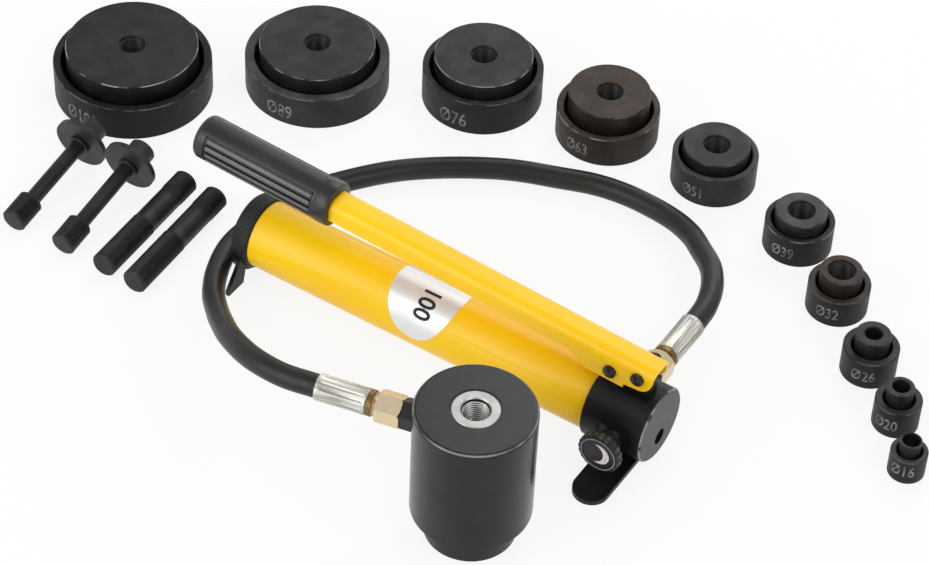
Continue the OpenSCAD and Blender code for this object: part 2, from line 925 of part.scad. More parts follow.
// Crimped sleeve: it tapers in at the nut and carries the crimping grooves
module hose_ferrules() {
    r = ferrule_d / 2;
    taper = 7;
    crimps = 8;
    crimp_d = 4;
    color("silver") at_both_ends() difference() {
        translate([ferrule_u, 0, 0]) x_turn() polygon([
            [0, 0], [r - 1.5, 0], [r - 1.5, taper - 2], [r, taper], [r, ferrule_len - 1],
            [r - 0.6, ferrule_len], [0, ferrule_len]
        ]);
        x_rod(barb_d + 2 * fit, ferrule_u - cut, hose_u + cut);
        for (i = [0 : crimps - 1]) rotate([360 * (i + 0.5) / crimps, 0, 0])
            translate([0, 0, r + crimp_d / 2 - 0.5]) x_rod(crimp_d, ferrule_u + taper + 2, hose_u - 4);
    }
}

// The hose leaves each ferrule straight and lies along its route in between.
pump_end = [pump_x + head_x + outlet_x, pump_y + outlet_y + hose_u, axis_h];
port_out = [cos(port_angle), sin(port_angle), 0];
ram_end = (ram_seat + hose_u) * port_out + [0, 0, port_z];

hose_path = concat(
    [pump_end],
    curve(
        concat([pump_end + [0, pump_straight, 0]], hose_route, [ram_end + ram_straight * port_out]),
        hose_steps
    ),
    [ram_end]
);

module hose() {
    color("dimgray") sweep_tube(hose_path, hose_d, hose_sides, [0, 1, 0], -port_out);
}

// Ram

module ram_body() {
    r = ram_r;
    b = bore_d / 2;
    c = 1;
    color("dimgray") difference() {
        rotate_extrude() union() {
            translate([b, ram_foot_h]) polygon([
                [0, 0], [r - b - c, 0], [r - b, c], [r - b, ram_h - ram_foot_h - ram_round],
                [0, ram_h - ram_foot_h - ram_round]
            ]);
            translate([rod_d / 2 + fit, chamber_top]) square([r - ram_round - rod_d / 2 - fit, ram_wall]);
            translate([rod_d / 2 + fit, chamber_top]) square([r - rod_d / 2 - fit, ram_wall - ram_round]);
            translate([r - ram_round, ram_h - ram_round]) circle(r = ram_round);
        }
        z_rod(rod_d + 2 * seal_w, rod_seal_z, rod_seal_z + seal_w);
        z_rod(rod_d + 2 * wiper_w, ram_h - wiper_h, ram_h + cut);
        at_port() {
            x_rod(spotface_d, 0, ram_r);
            x_rod(port_d + 2 * fit, -port_depth - loose, cut);
            x_rod(stem_bore, bore_d / 2 - ram_seat - cut, cut);
        }
    }
}

// Screwed base: a plug in the cylinder bore above the narrower foot that the ram stands on
module ram_base() {
    r = ram_foot_d / 2;
    c = 1.5;
    plug = bore_d / 2 - fit;
    color("dimgray") rotate_extrude() polygon([
        [0, 0], [r - c, 0], [r, c], [r, ram_foot_h], [plug, ram_foot_h], [plug, base_top - c],
        [plug - c, base_top], [0, base_top]
    ]);
}

module ram_piston() {
    p = bore_d / 2 - fit;
    q = rod_d / 2;
    h = (thread_d + 2 * thread_slack) / 2;
    groove = piston_bottom + piston_t / 2 - seal_w / 2;
    color("silver") difference() {
        rotate_extrude() polygon([
            [0, piston_bottom - boss_h], [boss_d / 2, piston_bottom - boss_h], [boss_d / 2, piston_bottom],
            [p - 1, piston_bottom], [p, piston_bottom + 1], [p, piston_top - 1], [p - 1, piston_top],
            [shoulder_d / 2, piston_top], [shoulder_d / 2, piston_top + shoulder_h],
            [q, piston_top + shoulder_h], [q, ram_h - 0.5], [q - 0.5, ram_h], [0, ram_h]
        ]);
        z_rod(2 * h, ram_h - thread_depth, ram_h + cut);
        translate([0, 0, ram_h - countersink]) cylinder(r1 = h, r2 = h + countersink, h = countersink);
        z_ring(p - seal_w, p + cut, groove, groove + seal_w);
    }
}

module piston_seal() {
    groove = piston_bottom + piston_t / 2 - seal_w / 2;
    p = bore_d / 2 - fit;
    color("seagreen") z_ring(p - seal_w + fit, p, groove + fit, groove + seal_w - fit);
}

module rod_seal() {
    color("seagreen")
        z_ring(rod_d / 2 + fit, rod_d / 2 + seal_w - fit, rod_seal_z + fit, rod_seal_z + seal_w - fit);
}

module rod_wiper() {
    color("black") z_ring(rod_d / 2 + fit, rod_d / 2 + wiper_w - fit, ram_h - wiper_h + fit, ram_h - 0.4);
}

spring_len = piston_bottom - base_top - 2 * loose;

module return_spring() {
    color("silver") translate([0, 0, base_top + loose]) coil(spring_d, spring_wire, spring_len, spring_turns);
}

spring_line = coil_points(spring_d, spring_wire, spring_len, spring_turns);
spring_gap = min([
    for (i = [0 : len(spring_line) - coil_rings - 1]) for (k = [coil_rings - 1 : coil_rings])
        norm(spring_line[i] - spring_line[min(i + k, len(spring_line) - 1)]) - spring_wire
]);
echo(return_spring_gap = spring_gap);

// Punches and dies

function stud_hole(d) = (d >= large_from ? thread_d : small_d) / 2 + thread_slack;

module die(s) {
    r = s[1] / 2;
    h = s[2];
    cup = s[0] / 2 + cup_gap + cup_share * s[0];
    hole = stud_hole(s[0]) + loose;
    color("dimgray") translate([s[4], s[5], 0]) rotate_extrude() polygon([
        [hole, 0], [r - edge, 0], [r, edge], [r, h - edge], [r - edge, h], [cup + edge, h], [cup, h - edge],
        [cup, die_floor], [hole, die_floor]
    ]);
}

// Punch: a cutting band with two shearing points, hollow underneath, and a plain back
module punch(s) {
    r = s[0] / 2;
    back = r - band_step;
    h = s[3] - die_floor;
    hole = stud_hole(s[0]);
    rim = max(hole + 1, 0.72 * r);
    hollow = 0.12 * r + 2;
    shear = 0.06 * r + 1.5;
    color("dimgray") translate([s[4], s[5], die_floor]) difference() {
        rotate_extrude() polygon([
            [hole, hollow], [rim, hollow], [rim + 0.3, 0], [r, 0], [r, band_h], [back, band_h + 1],
            [back, h - edge], [back - edge, h], [hole + edge, h], [hole, h - edge]
        ]);
        rotate([90, 0, 0]) linear_extrude(3 * r, center = true)
            polygon([[-0.85 * r, -cut], [0.85 * r, -cut], [0.85 * r, 0], [0, shear], [-0.85 * r, 0]]);
    }
}

// Draw studs

module large_stud() {
    r = thread_d / 2;
    waist = r - 0.4;
    c = 1.2;
    n = 0.6;
    x_turn() polygon([
        [0, 0], [r - c, 0], [r, c], [r, stud_long - n], [waist, stud_long],
        [waist, stud_len - stud_short], [r, stud_len - stud_short + n], [r, stud_len - c],
        [r - c, stud_len], [0, stud_len]
    ]);
}

module large_studs() {
    color("dimgray") for (p = stud_places)
        translate([p[0], p[1], thread_d / 2]) rotate([0, 0, stud_yaw]) large_stud();
}

// A small stud leans: the near rim of its head and the near rim of its disc touch the floor.
module at_small(p) {
    translate([p[0], p[1], thread_d / 2 * cos(small_lean)])
        rotate([0, 0, stud_yaw]) rotate([0, -small_lean, 0]) children();
}

module small_studs() {
    r = thread_d / 2;
    c = 1.2;
    tip = small_len + disc_t + hub_len - hub_floor;
    color("dimgray") for (p = small_places) at_small(p) x_turn() polygon([
        [0, 0], [r - c, 0], [r, c], [r, small_head - c], [r - c, small_head],
        [small_d / 2, small_head], [small_d / 2, tip], [0, tip]
    ]);
}

module stud_collars() {
    color("dimgray") for (p = small_places) at_small(p) difference() {
        translate([small_len, 0, 0]) x_turn() polygon([
            [0, 0], [disc_d / 2, 0], [disc_d / 2, disc_t], [hub_d / 2, disc_t],
            [hub_d / 2, disc_t + hub_len - 1], [hub_d / 2 - 1, disc_t + hub_len], [0, disc_t + hub_len]
        ]);
        x_rod(small_d + 2 * fit, small_len - cut, small_len + disc_t + hub_len - hub_floor + loose);
    }
}

reservoir_tube();
rear_cap();
cap_seal();
rear_foot();
pump_head();
head_seal();
front_foot();
relief_plug();
suction_strainer();
check_balls();
check_spring();
gland_nut();
plunger_seal();
plunger();
fulcrum_post();
fulcrum_pin();
plunger_pin();
pin_clips();
lever();
grip();
release_knob();
release_screw();
outlet_adaptor();
swivel_nuts();
hose_nipples();
hose_ferrules();
hose();
ram_adaptor();
ram_body();
ram_base();
ram_piston();
piston_seal();
rod_seal();
rod_wiper();
return_spring();
large_studs();
small_studs();
stud_collars();
for (s = sets) die(s);
for (s = sets) punch(s);
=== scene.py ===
import math

import bmesh
import bpy
from mathutils import Matrix, Vector


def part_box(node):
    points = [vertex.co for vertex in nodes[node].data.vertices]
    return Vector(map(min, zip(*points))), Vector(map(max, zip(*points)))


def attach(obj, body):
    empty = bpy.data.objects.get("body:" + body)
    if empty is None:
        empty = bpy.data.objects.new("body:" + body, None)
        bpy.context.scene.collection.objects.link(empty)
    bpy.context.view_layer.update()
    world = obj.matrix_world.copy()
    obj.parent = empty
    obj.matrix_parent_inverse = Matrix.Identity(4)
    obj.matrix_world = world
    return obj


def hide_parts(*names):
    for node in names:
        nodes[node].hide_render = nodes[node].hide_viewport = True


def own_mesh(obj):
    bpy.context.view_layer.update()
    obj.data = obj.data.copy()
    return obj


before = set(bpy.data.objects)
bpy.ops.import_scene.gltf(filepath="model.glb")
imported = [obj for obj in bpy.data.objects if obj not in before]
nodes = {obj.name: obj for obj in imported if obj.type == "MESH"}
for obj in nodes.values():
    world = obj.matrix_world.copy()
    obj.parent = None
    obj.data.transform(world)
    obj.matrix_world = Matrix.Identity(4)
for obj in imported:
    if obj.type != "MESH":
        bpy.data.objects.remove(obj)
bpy.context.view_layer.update()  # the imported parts, which stay where they are
print("frame:", len(nodes), "nodes")

mm = 0.001
rootBody = "set"

# Camera

photoView = {
    "position": (0.6827, -1.1545, 1.5630),
    "heading": (-0.5162, 0.8565),  # level direction that it looks in
    "dip": 44.858,  # degrees below level
    "roll": -2.717,
    "lens": 119.64,
    "sensor": 36.0,
}


def placeCamera(view):
    dip = math.radians(view["dip"])
    roll = math.radians(view["roll"])
    east, north = view["heading"]
    ahead = Vector((east * math.cos(dip), north * math.cos(dip), -math.sin(dip)))
    level = Vector((north, -east, 0))
    down = ahead.cross(level)
    across = level * math.cos(roll) + down * math.sin(roll)
    below = down * math.cos(roll) - level * math.sin(roll)
    data = bpy.data.cameras.new("camera")
    data.lens = view["lens"]
    data.sensor_width = view["sensor"]
    camera = bpy.data.objects.new("camera", data)
    turn = Matrix((across, -below, -ahead)).transposed().to_4x4()
    camera.matrix_world = Matrix.Translation(view["position"]) @ turn
    bpy.context.scene.collection.objects.link(camera)
    bpy.context.scene.camera = camera


placeCamera(photoView)
print("camera: in place")

# Materials: a socket that can be used in sums, and a finish that holds the nodes


class Wire:
    def __init__(self, finish, socket):
        self.finish = finish
        self.socket = socket

    def sum(self, operation, first, second):
        return self.finish.node("ShaderNodeMath", {"operation": operation}, {0: first, 1: second})

    def __add__(self, other):
        return self.sum("ADD", self, other)

    def __sub__(self, other):
        return self.sum("SUBTRACT", self, other)

    def __rsub__(self, other):
        return self.sum("SUBTRACT", other, self)

    def __mul__(self, other):
        return self.sum("MULTIPLY", self, other)

    __radd__ = __add__
    __rmul__ = __mul__


class Finish:
    def __init__(self, name, fixed=None):
        self.material = bpy.data.materials.new(name)
        self.material.use_nodes = True
        self.tree = self.material.node_tree
        self.shader = self.tree.nodes["Principled BSDF"]
        self.place = self.node("ShaderNodeTexCoord", out="Object")
        for socket, value in (fixed or {}).items():
            self.set(socket, value)

    def node(self, kind, settings=None, sockets=None, out=0):
        made = self.tree.nodes.new(kind)
        for key, value in (settings or {}).items():
            setattr(made, key, value)
        for key, value in (sockets or {}).items():
            self.feed(made.inputs[key], value)
        return Wire(self, made.outputs[out])

    def feed(self, socket, value):
        if isinstance(value, Wire):
            self.tree.links.new(value.socket, socket)
        elif socket.type == "RGBA":
            socket.default_value = (*value, 1)
        else:
            socket.default_value = value

    def set(self, socket, value):
        self.feed(self.shader.inputs[socket], value)

    def noise(self, scale, detail=2, stretch=(1, 1, 1), place=None):
        spot = self.node("ShaderNodeMapping", {}, {"Vector": place or self.place, "Scale": stretch})
        return self.node("ShaderNodeTexNoise", {}, {"Vector": spot, "Scale": scale, "Detail": detail})

    def rise(self, value, low, high):  # smooth step from 0 at low to 1 at high
        return self.node(
            "ShaderNodeMapRange",
            {"interpolation_type": "SMOOTHSTEP"},
            {"Value": value, "From Min": low, "From Max": high},
        )

    def patches(self, scale, detail, low, high):  # cloudy mask from 0 to 1
        return self.rise(self.noise(scale, detail), low, high)

    def sheen(self, rough, scale, detail, spread):  # roughness that varies a little
        self.set("Roughness", rough + self.noise(scale, detail) * spread)

    def grain(self, scale, detail, depth, strength):
        self.bump(self.noise(scale, detail), depth, strength)

    def mix(self, share, first, second):
        return self.node("ShaderNodeMix", {"data_type": "RGBA"}, {0: share, 6: first, 7: second}, out=2)

    def wave(self, value):
        return self.node("ShaderNodeMath", {"operation": "SINE"}, {0: value})

    def bump(self, height, depth, strength):
        self.set(
            "Normal",
            self.node("ShaderNodeBump", {}, {"Height": height, "Distance": depth, "Strength": strength}),
        )

    def offAxis(self, centre, along):  # distance from an axis, and place along it
        spot = self.node("ShaderNodeVectorMath", {"operation": "SUBTRACT"}, {0: self.place, 1: centre})
        keep = [0 if letter == along else 1 for letter in "XYZ"]
        away = self.node("ShaderNodeVectorMath", {"operation": "MULTIPLY"}, {0: spot, 1: keep})
        reach = self.node("ShaderNodeVectorMath", {"operation": "LENGTH"}, {0: away}, out="Value")
        return reach, self.node("ShaderNodeSeparateXYZ", {}, {"Vector": spot}, out=along)


yellowSet = {"colour": (0.98, 0.60, 0.003), "shade": (0.92, 0.53, 0.003), "scuff": (0.96, 0.70, 0.12)}


def yellowPaint():
    f = Finish("yellowPaint", {"Coat Weight": 0.08, "Coat Roughness": 0.1, "Specular IOR Level": 0.28})
    cloud = f.patches(11, 3, 0.35, 0.7)
    scuff = f.patches(260, 3, 0.68, 0.78)
    tone = f.mix(cloud * 0.5, yellowSet["colour"], yellowSet["shade"])
    f.set("Base Color", f.mix(scuff * 0.15, tone, yellowSet["scuff"]))
    f.sheen(0.3, 45, 2, 0.12)
    f.grain(620, 1, 0.05 * mm, 0.25)
    return f.material


blackSet = {
    "ram": {"dark": (0.0055, 0.0055, 0.0060), "pale": (0.011, 0.011, 0.0115), "rough": 0.17, "gloss": 0.28},
    "foot": {"dark": (0.0065, 0.0065, 0.0068), "pale": (0.015, 0.015, 0.0155), "rough": 0.40, "gloss": 0.24},
    "pin": {"dark": (0.006, 0.006, 0.008), "pale": (0.018, 0.018, 0.022), "rough": 0.28, "gloss": 0.36},
    "adaptor": {"dark": (0.006, 0.006, 0.0065), "pale": (0.017, 0.017, 0.018), "rough": 0.30, "gloss": 0.34},
    "stud": {"dark": (0.0065, 0.0065, 0.0065), "pale": (0.020, 0.0195, 0.019), "rough": 0.38, "gloss": 0.30},
    "collar": {"dark": (0.012, 0.012, 0.012), "pale": (0.034, 0.033, 0.032), "rough": 0.38, "gloss": 0.34},
    "threadHole": {
        "dark": (0.006, 0.006, 0.006), "pale": (0.016, 0.015, 0.014), "rough": 0.36, "gloss": 0.34,
    },
}


def blackSteel(kind):
    s = blackSet[kind]
    f = Finish(kind + "Black", {"Specular IOR Level": s["gloss"]})
    cloud = f.patches(38, 4, 0.3, 0.75)
    speck = f.patches(900, 2, 0.66, 0.8)
    f.set("Base Color", f.mix(cloud + speck * 0.4, s["dark"], s["pale"]))
    f.sheen(s["rough"], 130, 3, 0.14)
    f.grain(1500, 2, 0.02 * mm, 0.3)
    return f.material


# band and colour of the painted highlight on the ram's rim, and the paler black painted on its top as light
ramSet = {
    "radius": 41 * mm,
    "band": (1.6 * mm, 0.9 * mm),
    "wearAndHighlight": (0.24, 0.24, 0.245),
    "top": (0.021, 0.021, 0.0225),
    "paintedTopShare": 0.8,
    "flat": (0.3 * mm, 0.1 * mm),
}


def ramBlack():  # painted highlight along the rounded rim, and a painted lighter top
    s, r = blackSet["ram"], ramSet
    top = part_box("ram_body")[1].z
    f = Finish("ramShellBlack", {"Specular IOR Level": s["gloss"]})
    reach, height = f.offAxis((0, 0, 0), "Z")
    low, high = r["band"]
    rim = f.rise(reach, r["radius"] - low, r["radius"] - high) * f.rise(height, top - low, top - high)
    # painted highlight along the rim, broken up in patches
    rubbed = rim * f.patches(45, 3, 0.32, 0.62)
    cloud = f.patches(38, 4, 0.3, 0.75)
    # the flat top takes a paler black: painted light
    flat = f.rise(height, top - r["flat"][0], top - r["flat"][1])
    black = f.mix(flat * r["paintedTopShare"], f.mix(cloud, s["dark"], s["pale"]), r["top"])
    f.set("Base Color", f.mix(rubbed, black, r["wearAndHighlight"]))
    f.sheen(s["rough"], 130, 3, 0.14)
    f.grain(1500, 2, 0.02 * mm, 0.3)
    return f.material


headSet = {
    "body": (0.0045, 0.0045, 0.0050),
    "bodyPale": (0.011, 0.011, 0.012),
    "face": (0.100, 0.096, 0.090),
    # colour of the chamfer rim: bare turned steel with a painted highlight
    "rim": (0.26, 0.26, 0.25),
    "axis": (0, 0.125, 0.031),
    "chamfer": 1.5 * mm,
    "underCut": 1.5 * mm,  # what its flat underside lacks of a full circle
    "lines": 7500,  # turned lines, as radians per metre
    "flat": (0.4 * mm, 0.1 * mm),
    "chamferBand": (0.2 * mm, 0.3 * mm),
    "rimBand": (2 * mm, 1 * mm),
}


def headBlack():  # bare turned front face, and a paler chamfer rim: bare turned steel with a painted highlight
    s = headSet
    low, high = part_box("pump_head")
    rim = (high.z - low.z + s["underCut"]) / 2
    front = high.x - s["chamfer"]
    f = Finish("headBlack", {"Specular IOR Level": 0.24})
    reach, along = f.offAxis(s["axis"], "X")
    cloud = f.patches(38, 4, 0.3, 0.75)
    body = f.mix(cloud, s["body"], s["bodyPale"])
    lines = f.wave(reach * s["lines"]) * 0.25 + f.noise(300, 2) * 0.5
    face = f.rise(along, high.x - s["flat"][0], high.x - s["flat"][1])
    wearAndHighlight = f.rise(along, front - s["chamferBand"][0], front + s["chamferBand"][1]) - face
    outer = f.rise(reach, rim - s["rimBand"][0], rim - s["rimBand"][1])
    # chamfer rim, paler in patches: bare steel with a painted highlight
    edge = wearAndHighlight * f.patches(140, 3, 0.36, 0.56) * outer
    tone = f.mix(face * (0.6 + lines * 0.5), body, s["face"])
    f.set("Base Color", f.mix(edge, tone, s["rim"]))
    f.sheen(0.38, 130, 3, 0.16)
    f.bump(f.noise(1500, 2) + face * lines, 0.02 * mm, 0.35)
    return f.material


capSet = {"dark": (0.0065, 0.0065, 0.0068), "pale": (0.017, 0.017, 0.0175), "pitch": 0.9 * mm}


def capBlack():  # turned rings on the end face
    s = capSet
    f = Finish("capBlack", {"Specular IOR Level": 0.26})
    reach = f.offAxis(headSet["axis"], "X")[0]
    rings = f.wave(reach * (math.tau / s["pitch"]))
    cloud = f.patches(38, 4, 0.3, 0.75)
    f.set("Base Color", f.mix(cloud * 0.6 + rings * 0.25 + 0.2, s["dark"], s["pale"]))
    f.sheen(0.36, 130, 3, 0.14)
    f.bump(f.noise(1500, 2) * 0.4 + rings * 0.3, 0.03 * mm, 0.4)
    return f.material


toolSet = {
    "wall": (0.0058, 0.0056, 0.0054),
    "wallPale": (0.013, 0.0124, 0.0118),
    # paler copies of the black for the top faces: painted light on the tops
    "top": (0.021, 0.020, 0.0185),
    "topPale": (0.040, 0.0375, 0.0345),
    # colour of the bright top edges: rubbed wear with a painted highlight
    "wearAndHighlight": (0.36, 0.34, 0.32),
    "brown": (1.35, 1.03, 0.86),
    "browned": (63, 32),
    "edge": 0.8 * mm,
    "cup": (0.525, 0.6 * mm),  # a die's cup: share of the punch's diameter, and gap
    "lines": 8000,  # turned lines, as radians per metre
    "level": {
        "punch_101": 0.65, "die_101": 0.5, "die_89": 2.0, "die_63": 1.4, "die_51": 1.6, "die_39": 0.7,
        "punch_39": 1.9, "die_16": 1.5,
    },
    # how strongly each tool's edges take the rubbed wear and painted highlight
    "edgeWearAndHighlight": {
        "punch_101": 0.9, "punch_89": 0.7, "punch_76": 0.7, "die_39": 0.5, "die_63": 0.6, "die_89": 0.35,
        "die_101": 0.3,
    },
    "leastEdgeWearAndHighlight": 0.2,
}


def toolSteel(name):
    s = toolSet
    low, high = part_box(name)
    kind, size = name.split("_")
    level = s["level"].get(name, 1)
    edgeWearAndHighlight = s["edgeWearAndHighlight"].get(name, s["leastEdgeWearAndHighlight"])
    tint = [level * c for c in (s["brown"] if int(size) in s["browned"] else (1, 1, 1))]

    def tone(share, first, second):
        return f.mix(share, *[[c * t for c, t in zip(s[key], tint)] for key in (first, second)])

    centre = (low + high) / 2
    rim = (high.x - low.x) / 2
    f = Finish(name + "_steel", {"Specular IOR Level": 0.22})
    reach, height = f.offAxis((centre.x, centre.y, 0), "Z")
    cloud = f.patches(60, 4, 0.32, 0.72)
    # the top faces take the paler copy of the black: painted light
    flat = f.rise(height, high.z - 0.5 * s["edge"], high.z - 0.1 * s["edge"])
    steel = f.mix(flat, tone(cloud, "wall", "wallPale"), tone(cloud, "top", "topPale"))
    bevel = f.rise(height, high.z - 1.3 * s["edge"], high.z - 0.9 * s["edge"]) * (1 - flat)
    outer = f.rise(reach, rim - 1.6 * s["edge"], rim - 1.2 * s["edge"])
    # rubbed edges, with a painted highlight
    rubbed = outer * f.patches(70, 3, 0.40, 0.60)
    if kind == "die":
        share, gap = s["cup"]
        cup = int(size) * share * mm + gap
        inner = 1 - f.rise(reach, cup + 1.1 * s["edge"], cup + 1.5 * s["edge"])
        rubbed = rubbed + inner * f.patches(50, 3, 0.45, 0.65)
    wearAndHighlight = bevel * rubbed * edgeWearAndHighlight
    lines = f.wave(reach * s["lines"]) + f.wave(height * s["lines"])
    f.set("Base Color", f.mix(wearAndHighlight, steel, s["wearAndHighlight"]))
    f.set("Roughness", 0.38 + f.noise(150, 3) * 0.2 - wearAndHighlight * 0.1)
    f.bump(f.noise(1300, 2) + lines * 0.12, 0.025 * mm, 0.35)
    return f.material


def brightSteel(name, colour, rough):
    f = Finish(name, {"Metallic": 1.0})
    cloud = f.patches(85, 3, 0.3, 0.7)
    f.set("Base Color", f.mix(cloud, colour, [0.78 * c for c in colour]))
    f.sheen(rough, 420, 3, 0.18)
    f.bump(f.noise(900, 2, (1, 1, 6)), 0.02 * mm, 0.4)
    return f.material


zincSet = {
    "bright": (0.72, 0.715, 0.68),
    "dull": (0.36, 0.355, 0.33),
    "warm": (0.58, 0.54, 0.38),
    "brown": (0.16, 0.10, 0.045),
    "ochre": (0.27, 0.18, 0.085),
}


def crimpedZinc():  # streaked along the sleeve, by a place that the mesh holds
    f = Finish("crimpedZinc", {"Metallic": 1.0})
    around = f.node("ShaderNodeAttribute", {"attribute_name": "around"}, out="Vector")
    streak = f.rise(f.noise(5, 3, place=around), 0.40, 0.62)
    warm = f.rise(f.noise(3.4, 2, place=around), 0.50, 0.64)
    tone = f.mix(streak, zincSet["bright"], zincSet["dull"])
    f.set("Base Color", f.mix(warm * 0.6, tone, zincSet["warm"]))
    f.sheen(0.36, 300, 3, 0.2)
    f.grain(800, 3, 0.03 * mm, 0.4)
    return f.material


def stemZinc():  # yellow stem with a brown ring, which the mesh marks
    f = Finish("stemZinc", {"Metallic": 1.0})
    ring = f.node("ShaderNodeAttribute", {"attribute_name": "ring"}, out="Fac")
    mottle = f.patches(700, 3, 0.35, 0.65)
    f.set("Base Color", f.mix(ring, nutSet["gold"], f.mix(mottle, zincSet["brown"], zincSet["ochre"])))
    f.sheen(0.3, 260, 3, 0.16)
    f.grain(900, 2, 0.02 * mm, 0.3)
    return f.material


nutSet = {"gold": (0.76, 0.63, 0.40), "rose": (0.78, 0.60, 0.47), "green": (0.64, 0.61, 0.38)}


def yellowZinc():
    f = Finish("yellowZinc", {"Metallic": 1.0})
    rose = f.patches(90, 2, 0.48, 0.66)
    green = f.rise(f.noise(130, 2, (1, 1.4, 0.8)), 0.55, 0.72)
    tone = f.mix(rose * 0.8, nutSet["gold"], nutSet["rose"])
    f.set("Base Color", f.mix(green * 0.4, tone, nutSet["green"]))
    f.sheen(0.26, 260, 3, 0.16)
    f.grain(900, 2, 0.02 * mm, 0.3)
    return f.material


rubberSet = {
    "hose": {"dark": (0.009, 0.009, 0.0095), "pale": (0.016, 0.016, 0.0165), "rough": 0.34, "grain": 420},
    "seal": {"dark": (0.008, 0.008, 0.008), "pale": (0.016, 0.016, 0.016), "rough": 0.55, "grain": 900},
    "grip": {"dark": (0.019, 0.0195, 0.021), "pale": (0.029, 0.0295, 0.032), "rough": 0.26, "grain": 1100},
    "knob": {"dark": (0.0075, 0.0075, 0.008), "pale": (0.016, 0.016, 0.017), "rough": 0.34, "grain": 1300},
    "packing": {"dark": (0.020, 0.160, 0.070), "pale": (0.040, 0.230, 0.110), "rough": 0.5, "grain": 800},
}


def moulded(kind):
    s = rubberSet[kind]
    f = Finish(kind + "Moulded", {"Specular IOR Level": 0.36})
    cloud = f.patches(26, 4, 0.3, 0.75)
    dust = f.patches(s["grain"] * 0.5, 2, 0.66, 0.82)
    f.set("Base Color", f.mix(cloud + dust * 0.3, s["dark"], s["pale"]))
    f.sheen(s["rough"], 70, 3, 0.14)
    f.grain(s["grain"], 2, 0.04 * mm, 0.4)
    return f.material


def plateFoil():  # brushed along the tube
    f = Finish("plateFoil", {"Specular IOR Level": 0.4, "Metallic": 0.34})
    brushed = f.noise(900, 2, (0.06, 1, 1))
    f.set("Base Color", f.mix(f.patches(30, 2, 0.3, 0.7), (0.80, 0.805, 0.81), (0.74, 0.745, 0.75)))
    f.set("Roughness", 0.26 + brushed * 0.12)
    f.bump(brushed, 0.02 * mm, 0.3)
    return f.material


def etchedGrey():
    f = Finish("etchedGrey", {"Specular IOR Level": 0.3})
    faded = f.patches(160, 3, 0.38, 0.64)
    f.set("Base Color", f.mix(faded, (0.23, 0.222, 0.21), (0.085, 0.082, 0.078)))
    f.sheen(0.6, 400, 2, 0.2)
    return f.material


def printedInk(name, colour):
    f = Finish(name, {"Specular IOR Level": 0.3})
    f.set("Base Color", f.mix(f.patches(500, 3, 0.4, 0.7), colour, [0.72 * c for c in colour]))
    f.sheen(0.5, 700, 2, 0.15)
    return f.material


finishes = {
    "yellow": yellowPaint(),
    "head": headBlack(),
    "ramShell": ramBlack(),
    "cap": capBlack(),
    "steel": brightSteel("turnedSteel", (0.66, 0.65, 0.63), 0.26),
    "rod": brightSteel("rodSteel", (0.50, 0.495, 0.48), 0.34),
    "spring": brightSteel("springSteel", (0.34, 0.34, 0.35), 0.34),
    "stem": stemZinc(),
    "sleeve": crimpedZinc(),
    "yellowZinc": yellowZinc(),
    "foil": plateFoil(),
    "etched": etchedGrey(),
    "ringInk": printedInk("ringInk", (0.45, 0.45, 0.45)),
    "arrowInk": printedInk("arrowInk", (1.0, 0.92, 0.92)),
    "plateInk": printedInk("plateInk", (0.018, 0.018, 0.020)),
}
for kind in blackSet:
    finishes[kind] = blackSteel(kind)
for kind in rubberSet:
    finishes[kind] = moulded(kind)

nodeFinish = {
    "yellow": ["reservoir_tube", "lever"],
    "head": ["pump_head"],
    "ramShell": ["ram_body"],
    "ram": ["ram_base", "rod_wiper"],
    "foot": ["front_foot", "rear_foot"],
    "cap": ["rear_cap"],
    "pin": ["fulcrum_pin", "plunger_pin", "pin_clips", "relief_plug"],
    "adaptor": ["outlet_adaptor", "ram_adaptor", "fulcrum_post", "gland_nut"],
    "stud": ["large_studs", "small_studs"],
    "collar": ["stud_collars"],
    "steel": ["plunger", "release_screw", "check_balls", "suction_strainer"],
    "rod": ["ram_piston"],
    "spring": ["check_spring", "return_spring"],
    "stem": ["hose_nipples"],
    "sleeve": ["hose_ferrules"],
    "yellowZinc": ["swivel_nuts"],
    "seal": ["cap_seal", "head_seal"],
    "packing": ["plunger_seal", "piston_seal", "rod_seal"],
    "grip": ["grip"],
    "knob": ["release_knob"],
    "hose": ["hose"],
}


def dress(name, material):
    nodes[name].data.materials.clear()
    nodes[name].data.materials.append(material)


for kind, names in nodeFinish.items():
    for name in names:
        dress(name, finishes[kind])

for name in nodes:
    if name.startswith(("die_", "punch_")):
        dress(name, toolSteel(name))
print("finishes:", len(bpy.data.materials), "materials")

# Shared shaping

mergeGap = 0.5e-6
wallSlack = 2e-6  # how far a wall's point may lie from its radius


def evenSteps(low, high, step):
    count = max(1, round((high - low) / step))
    return [low + (high - low) * i / count for i in range(count + 1)]


def turned(profile, segments, closed=False):  # a profile of radius and height, spun about Z
    bm = bmesh.new()
    points = [bm.verts.new((radius, 0, height)) for radius, height in profile]
    pairs = list(zip(points, points[1:]))
    if closed:
        pairs.append((points[-1], points[0]))
    lines = [bm.edges.new(pair) for pair in pairs]
    bmesh.ops.spin(
        bm, geom=points + lines, cent=(0, 0, 0), axis=(0, 0, 1), dvec=(0, 0, 0),
        angle=math.tau, steps=segments, use_merge=True, use_duplicate=False,
    )
    bmesh.ops.remove_doubles(bm, verts=bm.verts, dist=mergeGap)
    bmesh.ops.recalc_face_normals(bm, faces=bm.faces)
    return bm


def carve(bm, wall, low, high, depthAt):  # sinks the wall of that radius, by turn and height
    for v in bm.verts:
        radius = math.hypot(v.co.x, v.co.y)
        if low <= v.co.z <= high and abs(radius - wall) < wallSlack:
            keep = 1 - depthAt(math.atan2(v.co.y, v.co.x) / math.tau, v.co.z) / radius
            v.co.x *= keep
            v.co.y *= keep


